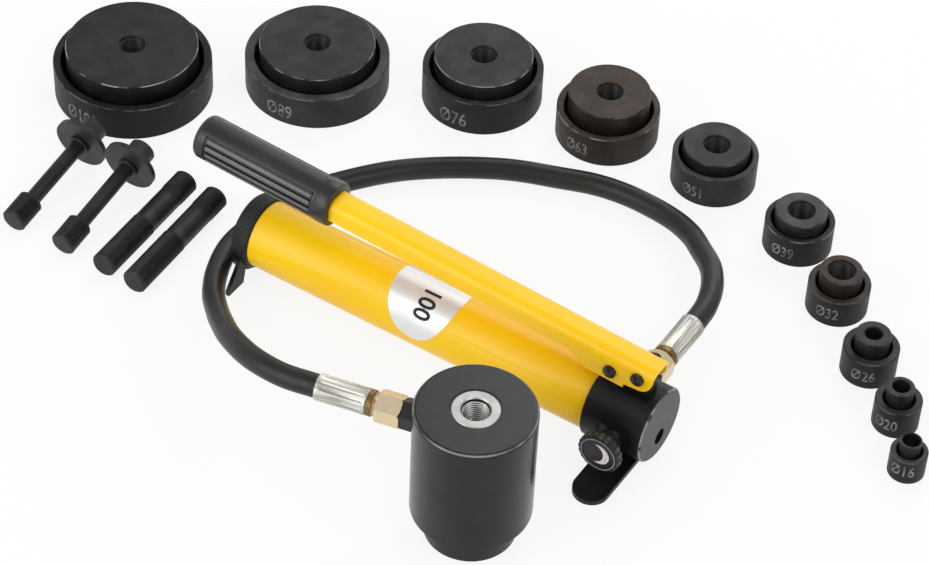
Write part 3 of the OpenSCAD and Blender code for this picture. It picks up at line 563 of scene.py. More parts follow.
def gather(shapes):
    whole = bmesh.new()
    for bm in shapes:
        mesh = bpy.data.meshes.new("shape")
        bm.to_mesh(mesh)
        bm.free()
        whole.from_mesh(mesh)
        bpy.data.meshes.remove(mesh)
    return whole


def place(bm, *moves):
    matrix = Matrix.Identity(4)
    for move in moves:
        matrix = matrix @ move
    bmesh.ops.transform(bm, matrix=matrix, verts=bm.verts)
    return bm


def turnAbout(axis, degrees):
    return Matrix.Rotation(math.radians(degrees), 4, axis)


def makePiece(name, bm, material, body, crease=35):
    mesh = bpy.data.meshes.new(name)
    bm.to_mesh(mesh)
    bm.free()
    mesh.shade_smooth()
    mesh.set_sharp_from_angle(angle=math.radians(crease))
    mesh.materials.append(material)
    piece = bpy.data.objects.new(name, mesh)
    bpy.context.scene.collection.objects.link(piece)
    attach(piece, body)
    return piece


def arc(centre, radius, start, end, steps):
    angles = [math.radians(start + (end - start) * i / steps) for i in range(steps + 1)]
    return [(centre[0] + radius * math.cos(a), centre[1] + radius * math.sin(a)) for a in angles]


# Hose with its crimped ends, laid along the same points as its solid

hoseSet = {
    "diameter": 0.0165,
    "length": 0.764,
    "pumpEnd": (0.041, 0.2206, 0.031),
    "ramEnd": (-0.10720, -0.02279, 0.091),
    "pumpHeading": (0, 1, 0),
    "ramHeading": (-0.97815, -0.20791, 0),
    "straight": 0.006,
    "steps": 10,
    "resolution": 7,
    "route": [
        (0.0395, 0.242, 0.0305),
        (0.033, 0.262, 0.0295),
        (0.021, 0.2815, 0.026),
        (0.004, 0.298, 0.021),
        (-0.0125, 0.312, 0.0165),
        (-0.035, 0.3225, 0.0125),
        (-0.0685, 0.3275, 0.010),
        (-0.098, 0.325, 0.009),
        (-0.127, 0.3155, 0.0085),
        (-0.162, 0.3015, 0.0085),
        (-0.1985, 0.2785, 0.0085),
        (-0.2305, 0.251, 0.0085),
        (-0.257, 0.2165, 0.0085),
        (-0.272, 0.1885, 0.0085),
        (-0.281, 0.1425, 0.0095),
        (-0.2795, 0.1125, 0.013),
        (-0.2685, 0.0835, 0.0185),
        (-0.2525, 0.058, 0.0275),
        (-0.233, 0.0355, 0.0415),
        (-0.212, 0.0135, 0.059),
        (-0.1885, -0.0075, 0.0755),
        (-0.161, -0.022, 0.0855),
        (-0.134, -0.0265, 0.0895),
    ],
}
endSet = {
    "sleeve": {"radius": 9.25 * mm, "long": 36 * mm, "bore": 4.35 * mm, "bevel": 0.6 * mm},
    "crimp": {
        "count": 10, "depth": 0.5 * mm, "ridge": 0.22, "plain": (1.5 * mm, 3 * mm), "fade": 1.5 * mm,
        "step": 0.5 * mm, "segments": 16,
    },
    "ring": {"radius": 9.1 * mm, "from": -40 * mm, "to": -36.05 * mm, "bevel": 0.5 * mm, "mark": 7 * mm},
    "stem": {"seat": 6 * mm, "radius": 5 * mm, "from": -52.55 * mm, "step": -47.65 * mm, "segments": 64},
    "barb": {"radius": 4.3 * mm, "to": -0.05 * mm, "bore": 2.5 * mm},
    "streak": 6,  # stretch of the streaks along the sleeve
}


def crimpedSleeve(s):
    r, long, c = s["sleeve"]["radius"], s["sleeve"]["long"], s["sleeve"]["bevel"]
    bore, crimp, fade = s["sleeve"]["bore"], s["crimp"], s["crimp"]["fade"]
    low, high = crimp["plain"][0] - long, -crimp["plain"][1]
    profile = [(bore, 0), (bore, -long), (r - c, -long), (r, c - long)]
    profile += [(r, h) for h in evenSteps(low, low + fade, crimp["step"])]
    profile += [(r, h) for h in evenSteps(high - fade, high, crimp["step"])]
    profile += [(r, -c), (r - c, 0)]
    bm = turned(profile, crimp["count"] * crimp["segments"], closed=True)

    def pressed(turn, height):  # flats between the ridges that the dies leave
        across = abs(turn * crimp["count"] % 1 - 0.5) * 2
        ridge = max(0, 1 - (1 - across) / crimp["ridge"])
        runOut = max(0, min(1, (height - low) / fade, (high - height) / fade))
        return crimp["depth"] * runOut * (1 - ridge)

    around = bm.verts.layers.float_vector.new("around")
    for v in bm.verts:
        turn = math.atan2(v.co.y, v.co.x)
        v[around] = (math.cos(turn), math.sin(turn), s["streak"] * v.co.z)
    carve(bm, r, low, high, pressed)
    return bm


def ringedStem(s):
    stem, ring, barb, c = s["stem"], s["ring"], s["barb"], s["ring"]["bevel"]
    profile = [(barb["bore"], barb["to"]), (barb["bore"], stem["from"]), (stem["seat"], stem["from"])]
    profile += [(stem["seat"], stem["step"]), (stem["radius"], stem["step"]), (stem["radius"], ring["from"])]
    profile += [(ring["radius"] - c, ring["from"]), (ring["radius"], ring["from"] + c)]
    profile += [(ring["radius"], ring["to"] - c), (ring["radius"] - c, ring["to"])]
    profile += [(barb["radius"], ring["to"]), (barb["radius"], barb["to"])]
    bm = turned(profile, stem["segments"], closed=True)
    mark = bm.verts.layers.float.new("ring")
    for v in bm.verts:
        v[mark] = 1 if math.hypot(v.co.x, v.co.y) > ring["mark"] else 0
    return bm


def makeHoseEnds(s):
    def atEnds(shape):
        shapes = []
        for end in ("pump", "ram"):
            spot = Matrix.Translation(hoseSet[end + "End"])
            aim = Vector(hoseSet[end + "Heading"]).to_track_quat("Z", "Y").to_matrix().to_4x4()
            shapes.append(place(shape(s), spot, aim))
        return gather(shapes)

    sleeves = makePiece("hoseSleeves", atEnds(crimpedSleeve), finishes["sleeve"], rootBody)
    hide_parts("hose_ferrules")
    stems = makePiece("hoseStems", atEnds(ringedStem), finishes["stem"], rootBody)
    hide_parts("hose_nipples")
    return [sleeves, stems]


def curvePoint(points, i, f):
    last = len(points) - 1
    a, b = points[max(i - 1, 0)], points[i]
    c, d = points[min(i + 1, last)], points[min(i + 2, last)]
    cubic = (3 * b - a - 3 * c + d) * f**3
    return 0.5 * (2 * b + (c - a) * f + (2 * a - 5 * b + 4 * c - d) * f**2 + cubic)


def makeHose(s, ends):
    pumpEnd, ramEnd = Vector(s["pumpEnd"]), Vector(s["ramEnd"])
    first = pumpEnd + s["straight"] * Vector(s["pumpHeading"])
    last = ramEnd + s["straight"] * Vector(s["ramHeading"])
    held = [first, *[Vector(p) for p in s["route"]], last]
    laid = [curvePoint(held, i, k / s["steps"]) for i in range(len(held) - 1) for k in range(s["steps"])]
    path = [pumpEnd, *laid, last, ramEnd]
    data = bpy.data.curves.new("hoseTube", "CURVE")
    data.dimensions = "3D"
    data.bevel_depth = s["diameter"] / 2
    data.bevel_resolution = s["resolution"]
    data.use_fill_caps = True
    spline = data.splines.new("POLY")
    spline.points.add(len(path) - 1)
    for point, spot in zip(spline.points, path):
        point.co = (*spot, 1)
    spline.use_smooth = True
    data.materials.append(finishes["hose"])
    hose = bpy.data.objects.new("hoseTube", data)
    bpy.context.scene.collection.objects.link(hose)
    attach(hose, rootBody)
    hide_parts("hose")


makeHose(hoseSet, makeHoseEnds(endSet))
print("hose: laid")

# Draw studs with their threads

threadSet = {"radius": 9.5 * mm, "pitch": 2 * mm, "depth": 1.15 * mm, "samples": 8, "segments": 48}
largeSet = {
    "places": [(-0.344, 0.049), (-0.316, 0.048)],
    "yaw": 92.5,
    "length": 106 * mm,
    "longThread": 51 * mm,
    "shortThread": 19 * mm,
    "waist": 9.1 * mm,
    "waistStep": 8 * mm,
    "chamfer": 1.2 * mm,
    "neck": 0.6 * mm,
}
smallSet = {
    "places": [(-0.425, 0.048), (-0.381, 0.049)],
    "yaw": 92.5,
    "lean": 7.705,
    "head": 23 * mm,
    "rod": 5.75 * mm,
    "collar": 85 * mm,
    "tip": 100.5 * mm,
    "chamfer": 1.2 * mm,
    "ring": (8.0 * mm, 3.2 * mm),
    "soft": 0.7 * mm,
    "clear": 0.05 * mm,
}


def threadWall(radius, low, high):  # profile of a wall that a thread is cut into
    return [(radius, h) for h in evenSteps(low, high, threadSet["pitch"] / threadSet["samples"])]


def cutThread(bm, wall, low, high, depth):
    pitch = threadSet["pitch"]

    def groove(turn, height):
        runOut = max(0, min(1, (height - low) / pitch, (high - height) / pitch))
        return depth * runOut * (0.5 - 0.5 * math.cos(math.tau * (height / pitch - turn)))

    carve(bm, wall, low, high, groove)


def largeStud(s):
    r, c, long = threadSet["radius"], s["chamfer"], s["length"]
    shortStart = long - s["shortThread"]
    threads = [(c, s["longThread"] - s["neck"]), (shortStart + s["neck"], long - c)]
    profile = [(0, 0), (r - c, 0), *threadWall(r, *threads[0])]
    profile += [(s["waist"], h) for h in evenSteps(s["longThread"], shortStart, s["waistStep"])]
    profile += [*threadWall(r, *threads[1]), (r - c, long), (0, long)]
    bm = turned(profile, threadSet["segments"])
    for low, high in threads:
        cutThread(bm, r, low, high, threadSet["depth"])
    return bm


def smallStud(s):
    r, c, soft = threadSet["radius"], s["chamfer"], s["soft"]
    ringReach, ringWide = s["ring"]
    profile = [(0, 0), (r - c, 0), *threadWall(r, c, s["head"] - c)]
    profile += [(r - c, s["head"]), (s["rod"] + soft, s["head"]), (s["rod"], s["head"] + soft)]
    start = s["collar"] - ringWide
    profile += [(s["rod"], start), (ringReach - soft, start), (ringReach, start + soft)]
    profile += [(ringReach, s["collar"] - soft), (ringReach - soft, s["collar"] - s["clear"])]
    profile += [(s["rod"], s["collar"]), (s["rod"], s["tip"]), (0, s["tip"])]
    bm = turned(profile, threadSet["segments"])
    cutThread(bm, r, c, s["head"] - c, threadSet["depth"])
    return bm


def makeStuds():
    along = turnAbout("Y", 90)
    r = threadSet["radius"]
    large = [
        place(largeStud(largeSet), Matrix.Translation((x, y, r)), turnAbout("Z", largeSet["yaw"]), along)
        for x, y in largeSet["places"]
    ]
    studs = makePiece("drawStuds", gather(large), finishes["stud"], rootBody)
    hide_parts("large_studs")
    rest = r * math.cos(math.radians(smallSet["lean"]))
    small = [
        place(
            smallStud(smallSet), Matrix.Translation((x, y, rest)), turnAbout("Z", smallSet["yaw"]),
            turnAbout("Y", -smallSet["lean"]), along,
        )
        for x, y in smallSet["places"]
    ]
    studs = makePiece("slimStuds", gather(small), finishes["stud"], rootBody)
    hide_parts("small_studs")


makeStuds()
print("studs: threaded")

# Threads inside the ram's rod and the larger punches

innerSet = {
    "wall": 9.66 * mm,
    "skin": 0.02 * mm,
    "depth": 1.1 * mm,
    "ramDepth": 28 * mm,
    "countersink": 0.85 * mm,
    "hollow": (0.06, 2 * mm),  # a punch's hollow: share of its diameter, and the rest
    "inset": 1 * mm,
}
largePunches = [101, 89, 76, 63, 51, 39, 32]


def rodThread(s):  # bright crests, with painted shade in the roots
    f = Finish("rodThread", {"Metallic": 1.0})
    reach = f.offAxis((0, 0, 0), "Z")[0]
    # painted shade down in the thread roots
    paintedRootShade = f.rise(reach, s["wall"] - 0.8 * s["depth"], s["wall"] - 0.25 * s["depth"])
    oily = f.patches(110, 3, 0.3, 0.7)
    crest = f.mix(oily, (0.70, 0.69, 0.67), (0.46, 0.45, 0.43))
    f.set("Base Color", f.mix(paintedRootShade, crest, (0.03, 0.03, 0.03)))
    f.sheen(0.3, 300, 2, 0.15)
    return f.material


def innerThread(low, high):
    s = innerSet
    inner = s["wall"] - s["skin"]
    profile = [(s["wall"], high), (s["wall"], low), *threadWall(inner, low, high)]
    bm = turned(profile, threadSet["segments"], closed=True)
    cutThread(bm, inner, low, high, s["depth"])
    return bm


def makeInnerThreads():
    s = innerSet
    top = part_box("ram_piston")[1].z - s["countersink"]
    ram = innerThread(top - s["ramDepth"], top)
    makePiece("rodThread", ram, rodThread(s), "piston")
    share, rest = s["hollow"]
    for size in largePunches:
        name = f"punch_{size}"
        low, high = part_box(name)
        hollow = share * size * mm + rest
        bm = innerThread(low.z + hollow + s["inset"], high.z - s["inset"])
        centre = (low + high) / 2
        place(bm, Matrix.Translation((centre.x, centre.y, 0)))
        makePiece(f"thread_{size}", bm, finishes["threadHole"], f"loose_punch_{size}")


makeInnerThreads()
print("inner threads: cut")

# Return spring, coiled to the length of its solid; on the pump it shortens as the ram draws its piston down

springSet = {"radius": 24 * mm, "wire": 4.5 * mm, "turns": 3, "stroke": 22 * mm, "segments": 40, "sides": 14}


def makeSpring(s):
    low, high = (corner.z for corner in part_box("return_spring"))
    steps = s["turns"] * s["segments"]
    start = Matrix.Translation((s["radius"], 0, low + s["wire"] / 2)) @ turnAbout("X", 90)
    bm = bmesh.new()
    bmesh.ops.create_circle(bm, segments=s["sides"], radius=s["wire"] / 2, matrix=start)
    bmesh.ops.spin(
        bm, geom=bm.verts[:] + bm.edges[:], cent=(0, 0, 0), axis=(0, 0, 1),
        dvec=(0, 0, (high - low - s["wire"]) / steps), angle=math.tau * s["turns"], steps=steps,
        use_merge=False, use_duplicate=False,
    )
    bmesh.ops.holes_fill(bm, edges=[e for e in bm.edges if e.is_boundary], sides=s["sides"])
    bmesh.ops.recalc_face_normals(bm, faces=bm.faces)
    spring = makePiece("ramSpring", bm, finishes["spring"], rootBody)
    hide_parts("return_spring")
    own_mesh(spring)


makeSpring(springSet)
print("return spring: coiled")

# Knurled band round the rear cap

knurlSet = {
    "lift": 0.5 * mm,
    "around": 74,
    "pitch": 2.2 * mm,
    "samples": 8,
    "rim": 14 * mm,  # length of the cap's rim
    "inset": (1.7 * mm, 0.85 * mm),
    "sunk": 0.3 * mm,
    "edge": 0.01 * mm,
    "crease": 60,
}


def knurlBlack(radius):
    f = Finish("knurlBlack", {"Specular IOR Level": 0.3})
    reach = f.offAxis(headSet["axis"], "X")[0]
    crest = f.rise(reach, radius + 0.55 * knurlSet["lift"], radius + knurlSet["lift"])
    rubbed = crest * f.patches(60, 3, 0.25, 0.7)
    f.set("Base Color", f.mix(rubbed, (0.006, 0.006, 0.006), (0.085, 0.083, 0.080)))
    f.sheen(0.4, 130, 3, 0.14)
    return f.material


def makeKnurl(s):
    low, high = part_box("rear_cap")
    r = (high.z - low.z) / 2
    wall = r + s["lift"]
    start, end = low.x + s["inset"][0], low.x + s["rim"] - s["inset"][1]
    heights = evenSteps(start, end, s["pitch"] / s["samples"])
    profile = [(r - s["sunk"], end), (r - s["sunk"], start), (r - s["edge"], start)]
    profile += [(wall, h) for h in heights[1:-1]]
    profile += [(r - s["edge"], end)]
    bm = turned(profile, s["around"] * s["samples"], closed=True)

    def diamond(turn, height):
        across = math.cos(math.tau * turn * s["around"])
        along = math.cos(math.tau * (height - start) / s["pitch"])
        return s["lift"] * (0.5 - 0.5 * across * along)

    carve(bm, wall, start, end, diamond)
    place(bm, Matrix.Translation((0, headSet["axis"][1], headSet["axis"][2])), turnAbout("Y", 90))
    makePiece("capKnurl", bm, knurlBlack(r), rootBody, s["crease"])


makeKnurl(knurlSet)
print("cap: knurled")

# Release knob with its toothed rim, ring line and turn arrow

knobSet = {
    "axis": (0.0495, 0.031),
    "back": 0.0855,
    "length": 7 * mm,
    "wall": 4 * mm,
    "radius": 15.75 * mm,
    "round": 1.2 * mm,
    "roundSteps": 4,
    "step": 1.6 * mm,
    "recess": (12.5 * mm, 0.5 * mm),
    "slope": 0.3 * mm,
    "hub": (8 * mm, 10 * mm),
    "bore": 5.05 * mm,
    "lobes": 20,
    "lobeDepth": 0.7 * mm,
    "teeth": 80,
    "toothDepth": 0.15 * mm,
    "toothSteps": 6,
    "shoulder": (1.05, 0.6),  # of the rounding: where the teeth start, and their run-out
    # band below the rim where the lobes take painted highlights
    "crest": (0.6 * mm, 0.1 * mm),
    "crease": 40,
    "ring": (12.65 * mm, 13.25 * mm),
    "arrow": {"radius": 8.5 * mm, "bite": 8.1 * mm, "shift": (-3.9 * mm, -1.3 * mm), "turn": -18},
    "arrowMerge": 0.02 * mm,
    "print": 0.12 * mm,
    "printSteps": (96, 80),  # ring and arrow
}


def knobBlack(s):  # moulded black, paler on the lobe crests: painted highlights with some rubbed wear
    f = Finish("knobBlack", {"Specular IOR Level": 0.36})
    x, z = s["axis"]
    reach = f.offAxis((x, 0, z), "Y")[0]
    low, high = s["crest"]
    # painted highlights on the lobe crests
    crest = f.rise(reach, s["radius"] - low, s["radius"] - high) * f.patches(260, 3, 0.35, 0.65)
    f.set("Base Color", f.mix(crest, (0.009, 0.009, 0.0095), (0.070, 0.070, 0.070)))
    f.sheen(0.34, 90, 3, 0.16)
    f.grain(1300, 2, 0.04 * mm, 0.4)
    return f.material


def makeKnob(s):
    r, c, long = s["radius"], s["round"], s["length"]
    hubReach, hubLong = s["hub"]
    dishReach, dishDeep = s["recess"]
    floor = long - s["wall"]
    profile = [(0, floor), (s["bore"], floor), (s["bore"], -hubLong), (hubReach, -hubLong), (hubReach, 0)]
    profile += [(r - c, 0)]
    profile += arc((r - c, c), c, -90, 0, s["roundSteps"])[1:-1]
    profile += [(r, h) for h in evenSteps(c, long - c, s["step"])]
    profile += arc((r - c, long - c), c, 0, 90, s["roundSteps"])[1:]
    profile += [(dishReach + s["slope"], long), (dishReach, long - dishDeep), (0, long - dishDeep)]
    bm = turned(profile, s["teeth"] * s["toothSteps"])
    shoulder, runOut = r - s["shoulder"][0] * c, s["shoulder"][1] * c
    for v in bm.verts:
        radius = math.hypot(v.co.x, v.co.y)
        if radius > shoulder:
            turn = math.atan2(v.co.y, v.co.x) / math.tau
            lobe = (0.5 - 0.5 * math.cos(math.tau * turn * s["lobes"])) ** 2
            tooth = 0.5 - 0.5 * math.cos(math.tau * turn * s["teeth"])
            share = min(1, (radius - shoulder) / runOut)
            keep = 1 - share * (s["lobeDepth"] * lobe + s["toothDepth"] * tooth) / radius
            v.co.x *= keep
            v.co.y *= keep
    x, z = s["axis"]
    seat = [Matrix.Translation((x, s["back"], z)), turnAbout("X", 90)]
    knob = makePiece("releaseKnob", place(bm, *seat), knobBlack(s), "release", s["crease"])
    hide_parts("release_knob")

    low, high = long - s["print"], long + s["print"]
    inner, outer = s["ring"]
    ringSteps, arrowSteps = s["printSteps"]
    ring = turned([(inner, low), (outer, low), (outer, high), (inner, high)], ringSteps, closed=True)
    makePiece("knobRing", place(ring, *seat), finishes["ringInk"], "release")

    a = s["arrow"]
    bm = bmesh.new()
    bmesh.ops.create_circle(bm, cap_ends=True, segments=arrowSteps, radius=a["radius"])
    biteX, biteY = a["shift"]
    for v in bm.verts:  # what lies inside the second circle is drawn out to its rim
        gap = a["bite"] ** 2 - (v.co.y - biteY) ** 2
        if gap > 0 and v.co.x < biteX + math.sqrt(gap):
            v.co.x = biteX + math.sqrt(gap)
    outline = bmesh.ops.extrude_face_region(bm, geom=bm.faces[:])
    raised = [v for v in outline["geom"] if isinstance(v, bmesh.types.BMVert)]
    bmesh.ops.translate(bm, vec=(0, 0, 2 * s["print"]), verts=raised)
    bmesh.ops.remove_doubles(bm, verts=bm.verts, dist=s["arrowMerge"])
    bmesh.ops.recalc_face_normals(bm, faces=bm.faces)
    sunk = Matrix.Translation((0, 0, long - dishDeep - s["print"]))
    place(bm, *seat, sunk, turnAbout("Z", a["turn"]))
    makePiece("turnArrow", bm, finishes["arrowInk"], "release")


makeKnob(knobSet)
print("release knob: made")

# Grip with soft finger ribs

gripSet = {
    "fulcrum": (0.0557, 0.125, 0.0774),
    "rise": 3.3,
    "start": -0.364,
    "lift": 0.2 * mm,
    "radius": 16.2 * mm,
    "length": 114 * mm,
    "rearRound": 4 * mm,
    "frontRound": 0.8 * mm,
    "roundSteps": (8, 3),  # rear and front
    "collar": (104 * mm, 112.6 * mm, 0.4 * mm),
    "collarBack": [(-0.9 * mm, 0), (-0.3 * mm, 0.55), (0.5 * mm, 1)],  # place and share of the lip
    "collarFront": [(-0.8 * mm, 1), (0, 0.6), (0.5 * mm, 0)],
    "window": (9.5 * mm, 101 * mm),
    "step": 8 * mm,
    "edge": 0.5 * mm,
    "slot": 1.7 * mm,
    "roll": 11,  # degrees, as the ribs' start, width and groove
    "ribFrom": 30,
    "ribs": 4,
    "ribWide": 17,
    "groove": 4,
    "depth": 1.7 * mm,
    "shallow": 0.5 * mm,
    "slotDepth": (1.0 * mm, 0.3 * mm),  # near side and far side
    "drop": 0.75 * mm,
    "crown": 0.12,  # share of the drop that the middle of a rib keeps
    "segments": 360,
    "crease": 40,
    # tones of the painted highlight on the bars
    "bar": {"dark": (0.110, 0.111, 0.115), "pale": (0.150, 0.151, 0.155)},
    "barShift": 0.2,
}


def gripMoulded(s):  # satin shell with painted highlights on the bars' upper crests, which the mesh marks
    f = Finish("gripMoulded", {"Specular IOR Level": 0.4})
    shell, bar = rubberSet["grip"], s["bar"]
    cloud = f.patches(26, 4, 0.3, 0.75)
    marked = f.node("ShaderNodeAttribute", {"attribute_name": "bar"}, out="Fac")
    tone = f.mix(marked, f.mix(cloud, shell["dark"], shell["pale"]), f.mix(cloud, bar["dark"], bar["pale"]))
    f.set("Base Color", tone)
    f.sheen(shell["rough"], 70, 3, 0.14)
    f.grain(shell["grain"], 2, 0.03 * mm, 0.3)
    return f.material


def makeGrip(s):
    r, long = s["radius"], s["length"]
    back, front, lip = s["collar"]
    first, last = s["window"]
    edge, slot = s["edge"], s["slot"]
    rear, nose = s["rearRound"], s["frontRound"]
    rearSteps, noseSteps = s["roundSteps"]
    stops = [first, first + edge, first + slot, first + slot + edge]
    stops += [last - slot - edge, last - slot, last - edge, last]
    heights = [h for a, b in zip(stops, stops[1:]) for h in evenSteps(a, b, s["step"])[:-1]] + [last]
    profile = [(0, 0), (r / 2, 0), *arc((r - rear, rear), rear, -90, 0, rearSteps)]
    profile += [(r, h) for h in heights]
    profile += [(r + share * lip, back + spot) for spot, share in s["collarBack"]]
    profile += [(r + share * lip, front + spot) for spot, share in s["collarFront"]]
    profile += [*arc((r - nose, long - nose), nose, 0, 90, noseSteps), (r / 2, long), (0, long)]
    bm = turned(profile, s["segments"])
    period = s["ribWide"] + s["groove"]
    span = s["ribs"] * period + s["groove"]

    def fromPanel(turn):  # degrees from the middle of the smooth panel, towards the near side
        return turn * 360 + (180 if turn < 0 else -180) - s["roll"]

    def ribDepth(turn, height):
        inside = abs(fromPanel(turn)) - s["ribFrom"]
        if not 0 < inside < span:
            return 0
        wall = min(1, (height - first) / edge, (last - height) / edge)
        sunk = min(1, min(height - first, last - height) / slot)
        slotDepth = s["slotDepth"][0 if fromPanel(turn) > 0 else 1]
        spot = inside % period
        if spot < s["groove"]:
            deep = slotDepth if sunk < 1 else s["shallow"] if inside < s["groove"] else s["depth"]
            return deep * wall * min(1, spot, s["groove"] - spot)
        bow = 2 * (spot - s["groove"]) / s["ribWide"] - 1
        if sunk < 1:
            return slotDepth * wall
        return s["drop"] * (s["crown"] + (1 - s["crown"]) * bow**2)

    # painted highlight across each bar, strongest just above its middle
    bars = bm.verts.layers.float.new("bar")
    for v in bm.verts:
        inside = abs(fromPanel(math.atan2(v.co.y, v.co.x) / math.tau)) - s["ribFrom"]
        if first + slot < v.co.z < last - slot and s["groove"] < inside < span:
            bow = 2 * (inside % period - s["groove"]) / s["ribWide"] - 1
            v[bars] = max(0, 1 - (bow + s["barShift"]) ** 2) if bow > -1 else 0
    carve(bm, r, first, last, ribDepth)
    lever = [Matrix.Translation(s["fulcrum"]), turnAbout("Y", s["rise"])]
    place(bm, *lever, Matrix.Translation((s["start"], 0, s["lift"])), turnAbout("Y", 90))
    grip = makePiece("gripShell", bm, gripMoulded(s), "lever_arm", s["crease"])
    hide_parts("grip")


makeGrip(gripSet)
print("grip: made")

# Diameter marks on the dies

markSet = {
    "size": 13.5 * mm,
    "narrow": 0.74,
    "lift": 0.05 * mm,
    "slice": 0.8 * mm,
    "curve": 3,
    "merge": 1e-7,
    "height": 11.5 * mm,
    "bold": 0.14 * mm,
    "scale": {101: 1.25, 89: 1.25, 76: 1.3, 63: 1.1},
    "angles": {101: -93, 89: -87, 76: -87, 63: -96, 51: -91, 39: -90, 32: -84, 26: -77, 20: -93, 16: -82},
}


def wordShape(text, size, bold):  # flat raised characters, sliced across so that they bend
    words = bpy.data.curves.new("words", "FONT")
    words.body = text
    words.size = size
    words.offset = bold
    words.align_x = "CENTER"
    words.align_y = "CENTER"
    words.resolution_u = markSet["curve"]
    words.extrude = markSet["lift"]
    holder = bpy.data.objects.new("words", words)
    bpy.context.scene.collection.objects.link(holder)
    mesh = bpy.data.meshes.new_from_object(holder.evaluated_get(bpy.context.evaluated_depsgraph_get()))
    bpy.data.objects.remove(holder)
    bpy.data.curves.remove(words)
    bm = bmesh.new()
    bm.from_mesh(mesh)
    bpy.data.meshes.remove(mesh)
    bmesh.ops.remove_doubles(bm, verts=bm.verts, dist=markSet["merge"])
    edge = max(v.co.x for v in bm.verts)
    for x in evenSteps(-edge, edge, markSet["slice"])[1:-1]:
        bmesh.ops.bisect_plane(
            bm, geom=bm.verts[:] + bm.edges[:] + bm.faces[:], plane_co=(x, 0, 0), plane_no=(1, 0, 0),
        )
    return bm


def makeMark(size, angle, s):
    low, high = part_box(f"die_{size}")
    centre = (low + high) / 2
    wall = (high.x - low.x) / 2
    bm = wordShape(f"Ø{size}", s["size"] * s["scale"].get(size, 1), s["bold"])
    start = math.radians(angle)
    for v in bm.verts:
        turn = start + v.co.x * s["narrow"] / wall
        reach = wall + v.co.z
        v.co = (centre.x + reach * math.cos(turn), centre.y + reach * math.sin(turn), s["height"] + v.co.y)
    bmesh.ops.recalc_face_normals(bm, faces=bm.faces)
    makePiece(f"mark_{size}", bm, finishes["etched"], rootBody)


for size, angle in markSet["angles"].items():
    makeMark(size, angle, markSet)
print("marks:", len(markSet["angles"]))

# Foil plate on the tube with a plain number

plateSet = {
    "along": -0.1146,
    "low": -2.8 * mm,  # arc lengths up the tube from its near side
    "straight": (39.5 * mm, 48 * mm),
    "high": 74 * mm,
    "half": 27.2 * mm,
    "tube": 25 * mm,
    "lift": 0.05 * mm,
    "thick": 0.18 * mm,
    "columns": 16,
    "rows": 72,
    "least": 0.0004,  # square of the share of its width that its ends keep
    "number": {
        "text": "100", "size": 18.5 * mm, "bold": 0.42 * mm, "along": -0.1113, "up": 27 * mm, "narrow": 0.9,
    },
}


def plateHalf(s, up):  # half the width of the plate at an arc length
    start, end = s["straight"]
    below = max(0, (start - up) / (start - s["low"]))
    above = max(0, (up - end) / (s["high"] - end))
    return s["half"] * math.sqrt(max(s["least"], 1 - below**2 - above**2))


def onTube(s, along, up, lift):
    reach, angle = s["tube"] + lift, up / s["tube"]
    axis = headSet["axis"]
    return along, axis[1] - reach * math.cos(angle), axis[2] + reach * math.sin(angle)


def makePlate(s):
    bm = bmesh.new()
    across = [2 * k / s["columns"] - 1 for k in range(s["columns"] + 1)]
    rows = []
    for i in range(s["rows"] + 1):
        share = 0.5 - 0.5 * math.cos(math.pi * i / s["rows"])  # closer together at the ends
        up = s["low"] + share * (s["high"] - s["low"])
        half = plateHalf(s, up)
        rows.append([bm.verts.new((half * spot, up, 0)) for spot in across])
    for row, above in zip(rows, rows[1:]):
        for k in range(s["columns"]):
            bm.faces.new((row[k], row[k + 1], above[k + 1], above[k]))
    bm.normal_update()
    bmesh.ops.solidify(bm, geom=bm.faces[:], thickness=s["thick"])
    deep = min(v.co.z for v in bm.verts)
    for v in bm.verts:
        v.co = onTube(s, s["along"] + v.co.x, v.co.y, s["lift"] + v.co.z - deep)
    bmesh.ops.recalc_face_normals(bm, faces=bm.faces)
    makePiece("tubePlate", bm, finishes["foil"], rootBody)


def makeNumber(s):
    n = s["number"]
    bm = wordShape(n["text"], n["size"], n["bold"])
    lift = s["lift"] + s["thick"]
    for v in bm.verts:  # read down the near side of the tube
        v.co = onTube(s, n["along"] + v.co.y, n["up"] - n["narrow"] * v.co.x, lift + v.co.z)
    bmesh.ops.recalc_face_normals(bm, faces=bm.faces)
    makePiece("plateNumber", bm, finishes["plateInk"], rootBody)


makePlate(plateSet)
makeNumber(plateSet)
print("plate: fitted")

# Floor and light

studioSet = {
    "floor": {"size": 14.0, "drop": 0.0004, "colour": (0.90, 0.90, 0.90), "glow": 0.86},
    "sky": {"level": 0.9, "zenith": 0.45},
    "lamps": [
        {"place": (-1.1, -1.6, 1.7), "size": (1.35, 1.35), "watts": 12},
        {"place": (1.6, -0.2, 1.5), "size": (1.1, 1.1), "watts": 9},
        {"place": (-0.3, 1.8, 1.6), "size": (1.4, 1.4), "watts": 15},
        {"place": (-1.0, -2.3, 0.95), "size": (2.0, 1.5), "watts": 21},
        {"place": (-0.5, 2.8, 0.3), "size": (2.6, 0.4), "watts": 6},
    ],
    "aim": (-0.1, 0.15, 0.0),
}


def seenRay(tree):  # 1 for what the camera, a reflection or glass sees
    path = tree.nodes.new("ShaderNodeLightPath")
    total = path.outputs["Is Camera Ray"]
    for name in ("Is Glossy Ray", "Is Transmission Ray"):
        add = tree.nodes.new("ShaderNodeMath")
        add.operation = "MAXIMUM"
        tree.links.new(total, add.inputs[0])
        tree.links.new(path.outputs[name], add.inputs[1])
        total = add.outputs[0]
    return total


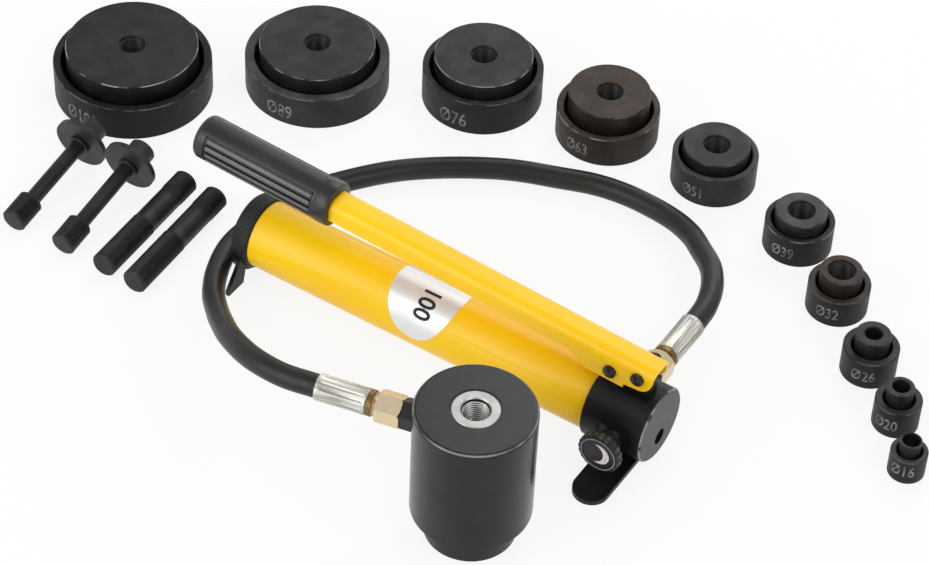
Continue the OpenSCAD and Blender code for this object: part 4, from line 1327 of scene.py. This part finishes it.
def makeFloor(s):
    bm = bmesh.new()
    bmesh.ops.create_grid(bm, x_segments=1, y_segments=1, size=s["size"] / 2)
    bmesh.ops.translate(bm, vec=(0, 0, -s["drop"]), verts=bm.verts)
    mesh = bpy.data.meshes.new("floor")
    bm.to_mesh(mesh)
    bm.free()
    floor = bpy.data.objects.new("floor", mesh)
    bpy.context.scene.collection.objects.link(floor)
    material = bpy.data.materials.new("paleFloor")
    material.use_nodes = True
    tree = material.node_tree
    tree.nodes.clear()
    matt = tree.nodes.new("ShaderNodeBsdfDiffuse")
    matt.inputs["Color"].default_value = (*s["colour"], 1)
    glow = tree.nodes.new("ShaderNodeEmission")
    share = tree.nodes.new("ShaderNodeMath")
    share.operation = "MULTIPLY"
    share.inputs[1].default_value = s["glow"]
    mix = tree.nodes.new("ShaderNodeMixShader")
    out = tree.nodes.new("ShaderNodeOutputMaterial")
    tree.links.new(seenRay(tree), share.inputs[0])
    tree.links.new(share.outputs[0], mix.inputs["Fac"])
    tree.links.new(matt.outputs[0], mix.inputs[1])
    tree.links.new(glow.outputs[0], mix.inputs[2])
    tree.links.new(mix.outputs[0], out.inputs["Surface"])
    mesh.materials.append(material)


def makeWorld(s):
    world = bpy.data.worlds.new("studio")
    bpy.context.scene.world = world
    world.use_nodes = True
    tree = world.node_tree
    sky = tree.nodes["Background"]
    sky.inputs["Color"].default_value = (1, 1, 1, 1)
    toward = tree.nodes.new("ShaderNodeTexCoord")
    split = tree.nodes.new("ShaderNodeSeparateXYZ")
    level = tree.nodes.new("ShaderNodeMapRange")
    level.inputs["To Min"].default_value = s["level"]
    level.inputs["To Max"].default_value = s["zenith"]
    tree.links.new(toward.outputs["Generated"], split.inputs[0])
    tree.links.new(split.outputs["Z"], level.inputs["Value"])
    tree.links.new(level.outputs[0], sky.inputs["Strength"])


def makeLamp(name, lamp, aim):
    data = bpy.data.lights.new(name, "AREA")
    data.shape = "RECTANGLE"
    data.size, data.size_y = lamp["size"]
    data.energy = lamp["watts"]
    holder = bpy.data.objects.new(name, data)
    holder.location = lamp["place"]
    holder.rotation_mode = "QUATERNION"
    holder.rotation_quaternion = (Vector(aim) - Vector(lamp["place"])).to_track_quat("-Z", "Y")
    bpy.context.scene.collection.objects.link(holder)


makeFloor(studioSet["floor"])
makeWorld(studioSet["sky"])
for number, lamp in enumerate(studioSet["lamps"]):
    makeLamp(f"lamp{number + 1}", lamp, studioSet["aim"])
bpy.context.scene.view_settings.view_transform = "Standard"
print("studio: lit")
